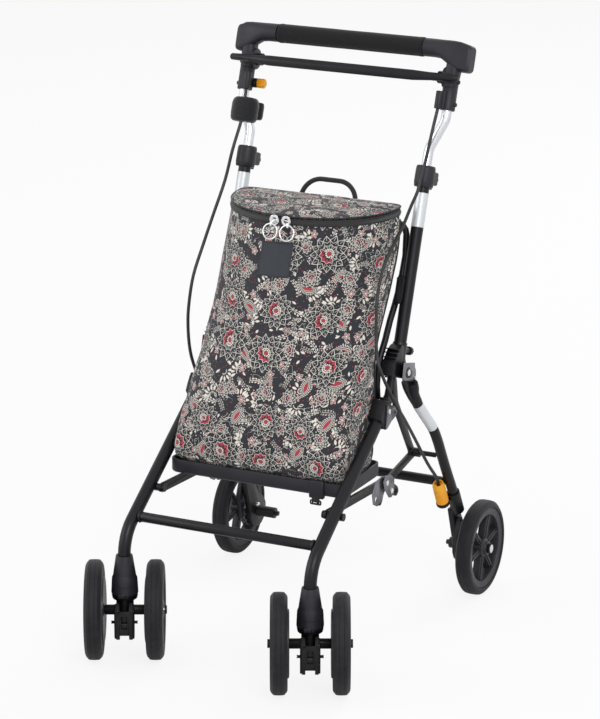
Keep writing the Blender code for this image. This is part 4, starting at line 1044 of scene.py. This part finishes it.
def dress_caster_wheels():
    """Tyre, dished disc and bright bolt, whose end stands out on the inner side only."""
    dish = mm((4.4, -13.9), (11, -13.9), (11.2, -13.4), (40, -14), (47, -15.2), (50, -14.6), (50.7, -10.5),
              (50.7, 10.5), (49.5, 11.2), (47, 9.6), (18, 8.6), (15, 10.8), (12, 12.2), (4.4, 12.2),
              (4.4, -13.9))
    for side, letter in SIDES:
        for end in (1, -1):
            where = "outer" if side * end > 0 else "inner"
            tip = 0.0166 if where == "inner" else 0.0126
            bolt = [(0, 0.01), (0.0046, 0.01), (0.0046, tip - 0.001), (0.004, tip), (0.0024, tip),
                    (0.0018, tip - 0.0008), (0, tip - 0.0008)]
            here = caster_frame(side) @ wheel_frame(end, (end * CASTER_HALF_TRACK, 0, WHEEL_R))
            shapes = [(placed(lathe(profile, steps), here), finish) for profile, steps, finish in (
                (tyre_profile(0.0505, WHEEL_R, 0.0127, 0.0048), 96, RUBBER), (dish, 72, WHEEL_PLASTIC),
                (bolt, 24, CHROME))]
            name = "caster_wheel_" + letter + "_" + where
            piece("dressed_" + name, shapes, name, [name])


# Legs

def front_leg_tube(side):
    x = side * CASTER_X
    top = Vector((x, AXLE_Y - 0.245, 0.3551))
    knee_z = top.z + (CASTER_Y - top.y) * math.tan(LEG_SLOPE)
    route = rounded_route([top, (x, CASTER_Y, knee_z), (x, CASTER_Y, 0.149)], 0.059, 16)
    return [(swept(route, POST_R, 32), PAINT)]


def oval_route(rows, side):
    """Rings along a route of (x, y, z, half width, half depth), y from the axle."""
    points = smooth_route([(side * x, y + AXLE_Y, z) for x, y, z, wide, deep in rows], 5)
    sizes = smooth_route([(wide, deep, 0) for x, y, z, wide, deep in rows], 5)
    rings = []
    for i, point in enumerate(points):
        along = (points[min(i + 1, len(points) - 1)] - points[max(i - 1, 0)]).normalized()
        across = (X_AXIS - along * X_AXIS.dot(along)).normalized()
        rings.append(oval(point, sizes[i].x, sizes[i].y, across, along.cross(across)))
    return points, rings


def rear_leg_tube(side):
    """Black tube, flattened at the pivot, with a cap in the clevis and a silver band above its bend."""
    route = mm((163.7, -184.5, 409.8, 2.4, 10), (163.7, -180, 402, 2.4, 11), (163.8, -171, 386.2, 2.4, 11),
               (164.6, -160, 367, 2.2, 10), (166.8, -153.5, 355.5, 6, 9.2), (169.5, -147, 344, 8, 8.2),
               (176.5, -135.5, 323.5, 8, 8), (184, -124.5, 303, 8, 8), (186.8, -112, 280, 8, 8),
               (187, -95, 250.6, 8, 8), (187.5, -78.5, 221.5, 8, 8), (189, -55, 180, 8, 8),
               (189, -41, 154.5, 8, 8))
    cap = mm((163, -164.5, 383.4, 13.4, 8.6), (163.6, -160.2, 373.5, 13, 8.8), (165, -156, 362.2, 10.4, 8.6),
             (169, -149, 347.5, 8.4, 8.4))
    points, rings = oval_route(route, side)
    band = []
    for ring, point in zip(rings, points):
        if 0.3 < point.z < 0.346:
            middle = sum(ring, Vector()) / len(ring)
            band.append([place + (place - middle).normalized() * 0.00025 for place in ring])
    return [(bridged(rings), PAINT), (bridged(oval_route(cap, side)[1]), PAINT), (bridged(band), TAPE)]


# Cables

def cable_routes():
    """The two brake cables, from inside the handle brackets to inside the amber covers."""
    into_cover = (COVER_TOP - COVER_FOOT).normalized()
    ends = [COVER_TOP + into_cover * reach for reach in (0.012, -0.001, -0.01)]
    right = [MAST @ Vector(point) for point in mm(
        (160.5, -14.1, 370), (160.5, -14.1, 361), (160.5, -14.1, 352))]
    right += from_axle(mm(
        (159.5, -82.8, 753.7), (155, -100.5, 703.4), (151, -114.5, 667.5), (148.8, -134, 647),
        (147.8, -156, 625.5), (146, -180, 605), (140, -206, 576), (140, -227, 543), (143, -240, 523),
        (146.5, -249, 482), (152, -257, 448), (161, -260, 422), (172, -232, 368), (174, -209, 342),
        (173, -165, 296), (176, -125, 246)))
    left = [MAST @ Vector(point) for point in mm(
        (-160.5, -14.1, 370), (-160.5, -14.1, 361), (-160.5, -14.1, 352), (-160.5, -13, 320),
        (-162, -13, 298), (-166, -18.5, 256), (-172, -16.5, 209), (-178, -27.2, 153), (-185, -32, 105.5),
        (-188.5, -42, 57.7), (-190, -40, 14.3), (-190, -32.5, -19), (-186, -21, -56.3), (-182, 1.5, -86.7))]
    left += from_axle(mm((-180, -162, 300), (-177, -125, 246))) + [flip(-1) @ point for point in ends]
    return {"r": right + ends, "l": left}


def dress_cables():
    for letter, points in cable_routes().items():
        route = smooth_route(points, 4)
        shapes = [(swept(route, CABLE_R, 16), JACKET)]
        cable = piece("brake_cable_" + letter, shapes, None, ["cable_" + letter])
        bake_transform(cable)


# Bag: each level is its height, back y from the axle, half width, front y and the front's squareness
BAG_LEVELS = (
    (0.2585, -0.2440, 0.1300, -0.3370, 8.0),
    (0.2765, -0.2430, 0.1395, -0.3500, 14.0),
    (0.2830, -0.2420, 0.1430, -0.3580, 18.0),
    (0.3100, -0.2405, 0.1425, -0.3585, 11.0),
    (0.3600, -0.2375, 0.1405, -0.3470, 4.5),
    (0.4200, -0.2325, 0.1390, -0.3270, 2.2),
    (0.4600, -0.2200, 0.1375, -0.3140, 1.9),
    (0.5000, -0.1925, 0.1360, -0.3005, 1.85),
    (0.5450, -0.1620, 0.1350, -0.2860, 2.05),
    (0.5850, -0.1400, 0.1345, -0.2750, 2.15),
    (0.6200, -0.1310, 0.1325, -0.2665, 2.15),
    (0.6430, -0.1290, 0.1302, -0.2630, 2.05),
)
BAG_FOOT = BAG_LEVELS[0][0]
BAG_MOUTH = BAG_LEVELS[-1][0]
BAG_CORNER = 0.012
BAG_COLUMNS = 180
BAG_ROWS = 96
BAND_MIDDLE = 0.6372
LID_Z = 0.6433

# Cloth for each metre of height, as the walls lean
STRETCH = 1.04


# Lid: each ring's share of the mouth and its rise
LID_RINGS = ((0.99, 0.0002), (1, 0.0006), (1.004, 0.0018), (0.998, 0.0028), (0.985, 0.0034), (0.96, 0.004),
             (0.92, 0.0046), (0.86, 0.0051), (0.78, 0.0055), (0.7, 0.0058), (0.61, 0.0061), (0.52, 0.0062),
             (0.43, 0.0063), (0.34, 0.0064), (0.25, 0.0065), (0.16, 0.0065), (0.05, 0.0065))


def clamped(value):
    return min(1.0, max(0.0, value))


def bag_level(height):
    """The bag's sizes at a height, averaged over a short span so that the levels' kinks are gone."""
    reach = min(0.012, max(0.0, height - BAG_FOOT - 0.018))
    total = Vector((0, 0, 0, 0))
    for shift in (-1.0, -0.5, 0.0, 0.5, 1.0):
        z = min(max(height + shift * reach, BAG_FOOT), BAG_MOUTH)
        for low, high in zip(BAG_LEVELS, BAG_LEVELS[1:]):
            if low[0] <= z <= high[0]:
                share = (z - low[0]) / (high[0] - low[0])
                total += Vector(low[1:]).lerp(Vector(high[1:]), share)
                break
    return total / 5


def spaced(loop, count):
    """A closed loop's points, spaced evenly along it from its first point, and its length."""
    closed = loop + [loop[0]]
    lengths = [0.0]
    for before, after in zip(closed, closed[1:]):
        lengths.append(lengths[-1] + (after - before).length)
    ring = []
    index = 0
    for column in range(count):
        want = lengths[-1] * column / count
        while lengths[index + 1] < want:
            index += 1
        share = (want - lengths[index]) / max(1e-9, lengths[index + 1] - lengths[index])
        ring.append(closed[index].lerp(closed[index + 1], share))
    return ring, lengths[-1]


def outward(ring, i):
    along = (ring[(i + 1) % len(ring)] - ring[i - 1]).normalized()
    return Vector((-along.y, along.x, 0))


def bag_ring(height, grow=0.0, columns=BAG_COLUMNS):
    """Points round the bag at a height, from the back's middle round by its right, and the girth."""
    back_y, half_x, front_y, square = bag_level(height)
    half = [(0.0, back_y)]
    for i in range(9):
        angle = math.pi / 2 * i / 8
        half.append((half_x - BAG_CORNER * (1 - math.sin(angle)),
                     back_y - BAG_CORNER * (1 - math.cos(angle))))
    curve_y = back_y - BAG_CORNER * 1.5
    for i in range(97):
        angle = math.pi / 2 * i / 96
        half.append((half_x * max(0.0, math.cos(angle)) ** (2 / square),
                     curve_y - (curve_y - front_y) * math.sin(angle) ** (2 / square)))
    lean = 0.0015 * clamped((height - 0.56) / 0.08)
    whole = half + [(-x, y) for x, y in reversed(half[1:-1])]
    loop = [Vector((x + lean, y + AXLE_Y, height)) for x, y in whole]
    ring, girth = spaced(loop, columns)
    return [point + outward(ring, i) * grow for i, point in enumerate(ring)], girth


def cloth_through(rings, girths, heights):
    """Cloth through rings that close on themselves, with a map in metres from the front's middle."""
    columns = len(rings[0])
    rows = len(rings) - 1
    shape = bmesh.new()
    bmesh.ops.create_grid(shape, x_segments=columns, y_segments=rows, size=0.5)
    layer = shape.loops.layers.uv.new("cloth")
    grid = {vert: (round((vert.co.x + 0.5) * columns), round((vert.co.y + 0.5) * rows))
            for vert in shape.verts}
    for face in shape.faces:
        for loop in face.loops:
            column, row = grid[loop.vert]
            loop[layer].uv = (1.0 + (column / columns - 0.5) * girths[row], heights[row])
    for vert, (column, row) in grid.items():
        vert.co = rings[row][column % columns]
    return welded(shape)


def bag_surface():
    """The bag's wall as (rings, girths, heights), with soft dents and a few long folds."""
    low = BAG_FOOT + 0.0006
    high = BAG_MOUTH - 0.0008
    rings = []
    girths = []
    heights = []
    for row in range(BAG_ROWS + 1):
        share = row / BAG_ROWS
        height = low + (high - low) * share
        ring, girth = bag_ring(height)
        calm = min(1.0, share * 7) * min(1.0, (1 - share) * 9)
        dented = []
        for i, point in enumerate(ring):
            wave = -0.0006
            for across, up, shift, depth in ((8, 6, 0, 0.003), (26, 11, 5, 0.0011), (70, 45, 9, 0.0003)):
                spot = Vector((point.x * across, point.z * up, point.y * across + shift))
                wave += noise.noise(spot) * depth
            dented.append(point + outward(ring, i) * wave * calm)
        rings.append(dented)
        girths.append(girth)
        heights.append(height * STRETCH)
    return rings, girths, heights


def corner_piping(rings, side):
    """Corded seam down one back corner."""
    route = []
    for ring in rings[3:-4]:
        corner = max(range(len(ring)), key=lambda i: side * ring[i].x + ring[i].y * 0.45)
        route.append(ring[corner] + outward(ring, corner) * 0.0007)
    return swept(smooth_route(route[::5] + [route[-1]], 3), 0.0015, 12)


def dress_bag():
    """Printed cloth with a bound floor and corded back corners; gives the wall's rings."""
    surface = bag_surface()
    rings = surface[0]
    floor = bridged([rings[0], [point - Z_AXIS * 0.0004 for point in rings[0]]])
    shapes = [(cloth_through(*surface), PRINT), (floor, BINDING)]
    shapes += [(corner_piping(rings, side), BINDING) for side in (1, -1)]
    piece("bag_cloth", shapes, "mast", ["bag_body"], 60)
    return surface


def dress_zip_band():
    """Black tape round the mouth with its coil, the lid's bound hinge and two bright sliders."""
    profile = mm((632.6, 0.4), (632.9, 1.6), (634.3, 1.9), (635.4, 2), (636.2, 2.7), (638.2, 2.7), (639, 2),
                 (640.2, 1.9), (642.4, 1.4), (642.7, 0.4))
    rings, girths = zip(*[bag_ring(height, proud, 240) for height, proud in profile])
    band = cloth_through(rings, girths, [height - BAND_MIDDLE for height, proud in profile])
    hinge = rod(-0.117, 0.119, AXLE_Y - 0.1284, 0.644, 0.0028, 0.0014)
    shapes = [(band, ZIP), (hinge, BINDING)]
    front_y = AXLE_Y - 0.2656
    rim = mm((3.6, 0), (6.6, 0.2), (7.8, 0.9), (7.6, 1.8), (5.8, 2.4), (4, 1.8), (3.6, 0.6), (3.6, 0))
    for x in (-0.0114, 0.008):
        body = block((x - 0.0045, front_y - 0.001, 0.633), (x + 0.0045, front_y + 0.0022, 0.64), 0.0012, 3)
        shapes += [(body, CHROME), (turned(rim, (x, front_y - 0.001, 0.6388), -Y_AXIS, 32), CHROME)]
    piece("zip_tape_band", shapes, "mast", ["zip_band"], 50)


def dress_lid():
    """Printed lid, slightly domed and creased across, with a corded edge."""
    edge = bag_ring(BAG_MOUTH, 0.0012)[0]
    middle_y = AXLE_Y - 0.19
    rings = []
    for share, rise in LID_RINGS:
        ring = []
        for point in edge:
            x = point.x * share
            y = (point.y - middle_y) * share
            crease = noise.noise(Vector((x * 11, y * 120, 0.7))) * 0.0017
            crease += noise.noise(Vector((x * 16, y * 30, 3.1))) * 0.0016
            ring.append(Vector((x, y + middle_y, LID_Z + rise + crease * clamped((1 - share) * 9))))
        rings.append(ring)
    shape = bridged(rings)
    layer = shape.loops.layers.uv.new("cloth")
    for face in shape.faces:
        for loop in face.loops:
            loop[layer].uv = (loop.vert.co.x + 2.0, loop.vert.co.y * STRETCH + 1.0)
    cord = [point + Z_AXIS * 0.0002 for point in rings[2]]
    rim = swept(cord + cord[:1], 0.0013, 12)
    piece("bag_lid_cloth", [(shape, PRINT), (rim, BINDING)], "bag_lid", ["bag_lid"], 60)


def dress_zip_pulls():
    """Round split rings, each on a short link."""
    down = Vector((0, -0.25, -0.968)).normalized()
    for letter, x in (("a", -0.0136), ("b", 0.014)):
        node = "zip_ring_" + letter
        pivot = Vector((x, AXLE_Y - 0.2745, 0.63586))
        centre = pivot + down * 0.013
        turns = [2 * math.pi * i / 48 for i in range(49)]
        circle = [centre + (X_AXIS * math.sin(turn) - down * math.cos(turn)) * 0.0115 for turn in turns]
        shapes = [(swept(circle, 0.00125, 12), CHROME),
                  (bar(pivot - down * 0.0012, pivot + down * 0.0052, 0.0018, 0.0005, 16), CHROME)]
        piece("pull_ring_" + letter, shapes, node, [node], 60)


def dress_patch(surface):
    """The sewn patch on the bag's front, left bare, with a row of stitches inside its edge."""
    wall = cloth_through(*surface)
    tree = BVHTree.FromBMesh(wall)
    wall.free()

    def on_front(across, up, proud):
        low = Vector((-0.033, 0, 0.5555)).lerp(Vector((0.018, 0, 0.556)), across)
        high = Vector((-0.0305, 0, 0.6052)).lerp(Vector((0.021, 0, 0.6078)), across)
        place = low.lerp(high, up)
        hit, normal = tree.ray_cast(Vector((place.x, -1.0, place.z)), Y_AXIS)[:2]
        return hit + (normal if normal.y < 0 else -normal) * proud

    shape = bmesh.new()
    bmesh.ops.create_grid(shape, x_segments=24, y_segments=24, size=0.5)
    for vert in shape.verts:
        vert.co = on_front(vert.co.x + 0.5, vert.co.y + 0.5, 0.0012)
    bmesh.ops.solidify(faced(shape), geom=shape.faces, thickness=0.001)
    shapes = [(shape, PATCH)]
    corners = [(0.03, 0.03), (0.97, 0.03), (0.97, 0.97), (0.03, 0.97), (0.03, 0.03)]
    for (x1, y1), (x2, y2) in zip(corners, corners[1:]):
        for i in range(16):
            shares = ((i + 0.2) / 16, (i + 0.8) / 16)
            ends = [on_front(x1 + (x2 - x1) * t, y1 + (y2 - y1) * t, 0.0023) for t in shares]
            shapes.append((bar(*ends, 0.0003, 0.0001, 8), BINDING))
    piece("bare_patch", shapes, "mast", (), 60)


# Room

LIGHT_AIM = Vector((0, 0, 0.4))
SKY_ON_PIECES = 0.55
FLOOR_TONE = 0.86
FLOOR_GLOW = 0.86
FLOOR_HALF = 6.0


def put(name, data, place, back):
    """Link an object that looks along minus back."""
    item = bpy.data.objects.new(name, data)
    item.location = place
    item.rotation_euler = back.to_track_quat("Z", "Y").to_euler()
    bpy.context.scene.collection.objects.link(item)
    return item


def make_camera():
    """The photograph's viewpoint, solved from the wheels and the mirrored tubes."""
    azimuth = math.radians(26.3)
    elevation = math.radians(16.79)
    distance = 5.11125
    focal_pixels = 3249.0
    picture_height = 719
    target = Vector((-0.0891, AXLE_Y - 0.0253, 0.3478))
    back = Vector((math.sin(azimuth) * math.cos(elevation), -math.cos(azimuth) * math.cos(elevation),
                   math.sin(elevation)))
    data = bpy.data.cameras.new("camera")
    data.sensor_fit = "VERTICAL"
    data.sensor_height = 36.0
    data.lens = focal_pixels * data.sensor_height / picture_height
    bpy.context.scene.camera = put("camera", data, target + back * distance, back)


def make_light(name, place, size, power):
    data = bpy.data.lights.new(name, "AREA")
    data.shape = "SQUARE"
    data.size = size
    data.energy = power
    put(name, data, place, Vector(place) - LIGHT_AIM)


def make_room():
    """White surroundings, three soft lights and a pale floor that glows a little to the camera."""
    world = bpy.data.worlds.new("studio")
    world.use_nodes = True
    bpy.context.scene.world = world
    sky = Graph(world.node_tree)
    paths = sky.node("ShaderNodeLightPath")
    seen = paths.out("Is Camera Ray").high(paths.out("Is Glossy Ray")).high(paths.out("Is Transmission Ray"))
    strength = sky.node("ShaderNodeMapRange", None, {"Value": seen, "To Min": SKY_ON_PIECES, "To Max": 1.0})
    background = world.node_tree.nodes["Background"]
    sky.feed(background.inputs["Color"], (1, 1, 1))
    sky.feed(background.inputs["Strength"], strength)

    finish = Finish("pale_floor", roughness=0.9, base_color=(FLOOR_TONE, FLOOR_TONE, FLOOR_TONE))
    glow = finish.node("ShaderNodeEmission", None, {"Color": (1, 1, 1), "Strength": 1.0})
    share = finish.node("ShaderNodeLightPath").out("Is Camera Ray") * FLOOR_GLOW
    plain = Wire(finish, finish.shader.outputs[0])
    both = finish.node("ShaderNodeMixShader", None, {0: share, 1: plain, 2: glow})
    finish.feed(finish.tree.nodes["Material Output"].inputs["Surface"], both)
    shape = bmesh.new()
    bmesh.ops.create_grid(shape, x_segments=2, y_segments=2, size=FLOOR_HALF)
    mesh = bpy.data.meshes.new("floor")
    shape.to_mesh(mesh)
    shape.free()
    mesh.materials.append(finish.material)
    floor = bpy.data.objects.new("floor", mesh)
    bpy.context.scene.collection.objects.link(floor)
    make_light("key", (2.6, -3.2, 3.4), 2.2, 95)
    make_light("fill", (-3.4, -2.4, 2.2), 2.6, 45)
    make_light("back", (0.5, 3.6, 3.0), 2.6, 60)
    bpy.context.scene.view_settings.view_transform = "Standard"


make_camera()
make_room()
dress_cables()

# Softened copies of the CAD nodes, some with shapes of their own added
pair("dressed_post_bracket_", "post_bracket_", "mast", "dark_plastic", None, 0.0007, BLACK_PLASTIC)
for node, body, added in (("front_crossbar", "front_frame", weld_bars()), ("rear_crossbar", "rear_frame", []),
                          ("bag_hoop", "mast", []), ("brake_bar", "brake_bar", [])):
    piece("dressed_" + node, [(node_copy(node, 0.0005), PAINT)] + added, body, [node])
for node, body, finish in (("caster_fork_", "caster_", BLACK_PLASTIC),
                           ("brake_lever_", "brake_lever_", PLASTIC),
                           ("collar_button_", "collar_button_", BLACK_PLASTIC)):
    pair("dressed_" + node, node, body, "dark_plastic", None, 0.0005, finish)
pair("leg_clamp_", "leg_bracket_", "front_frame", "dark_plastic", LEG_CLAMP, 0.0011, BLACK_PLASTIC)
pair("clevis_", "link_plate_", "rear_frame", "steel_plate", clevis, 0.0004, PAINT)
pair("brace_link_front_", "brace_front_", "brace_front", "frame_black", FRONT_KNEE, 0.0004, PAINT)
pair("brace_link_rear_", "brace_rear_", "brace_rear", "frame_black", REAR_KNEE, 0.0004, PAINT)
dress_tray()
dress_carry_handle()
pair("axle_bracket_", "wheel_bracket_", "rear_frame", "dark_plastic", axle_end, 0.0008, BLACK_PLASTIC)
pair("socket_cover_", "caster_socket_", "front_frame", "dark_plastic", caster_skirt, 0.0006, PLASTIC)
pair("lock_pedal_", "lock_lever_", "lock_lever_", "dark_plastic", lever_cheeks, 0.0008, BLACK_PLASTIC)

# Pieces of their own shape
pair("amber_sleeve_", "cable_cover_", "rear_frame", "orange_plastic", amber_sleeve)
pair("post_tube_", "post_", "mast", "frame_black", post_tube)
pair("collar_body_", "collar_", "mast", "dark_plastic", collar_body)
pair("telescopic_tube_", "inner_tube_", "handle", "bright_tube", telescopic_tube)
dress_grip()
pair("handle_end_", "handle_bracket_", "handle", "dark_plastic", handle_end)
dress_knob()
dress_cane_strap()
pair("tyre_", "rear_tyre_", "rear_wheel_", "tyre", rear_tyre)
pair("spoked_rim_", "rear_rim_", "rear_wheel_", "wheel_plastic", spoked_rim)
dress_caster_wheels()
pair("front_leg_tube_", None, "front_frame", "frame_black", front_leg_tube)
pair("front_leg_pins_", "front_leg_", "front_frame", "frame_black", None, 0.0, PAINT)
pair("rear_leg_tube_", "rear_leg_", "rear_frame", "frame_black", rear_leg_tube)
bag_wall = dress_bag()
dress_zip_band()
dress_lid()
dress_zip_pulls()
dress_patch(bag_wall)
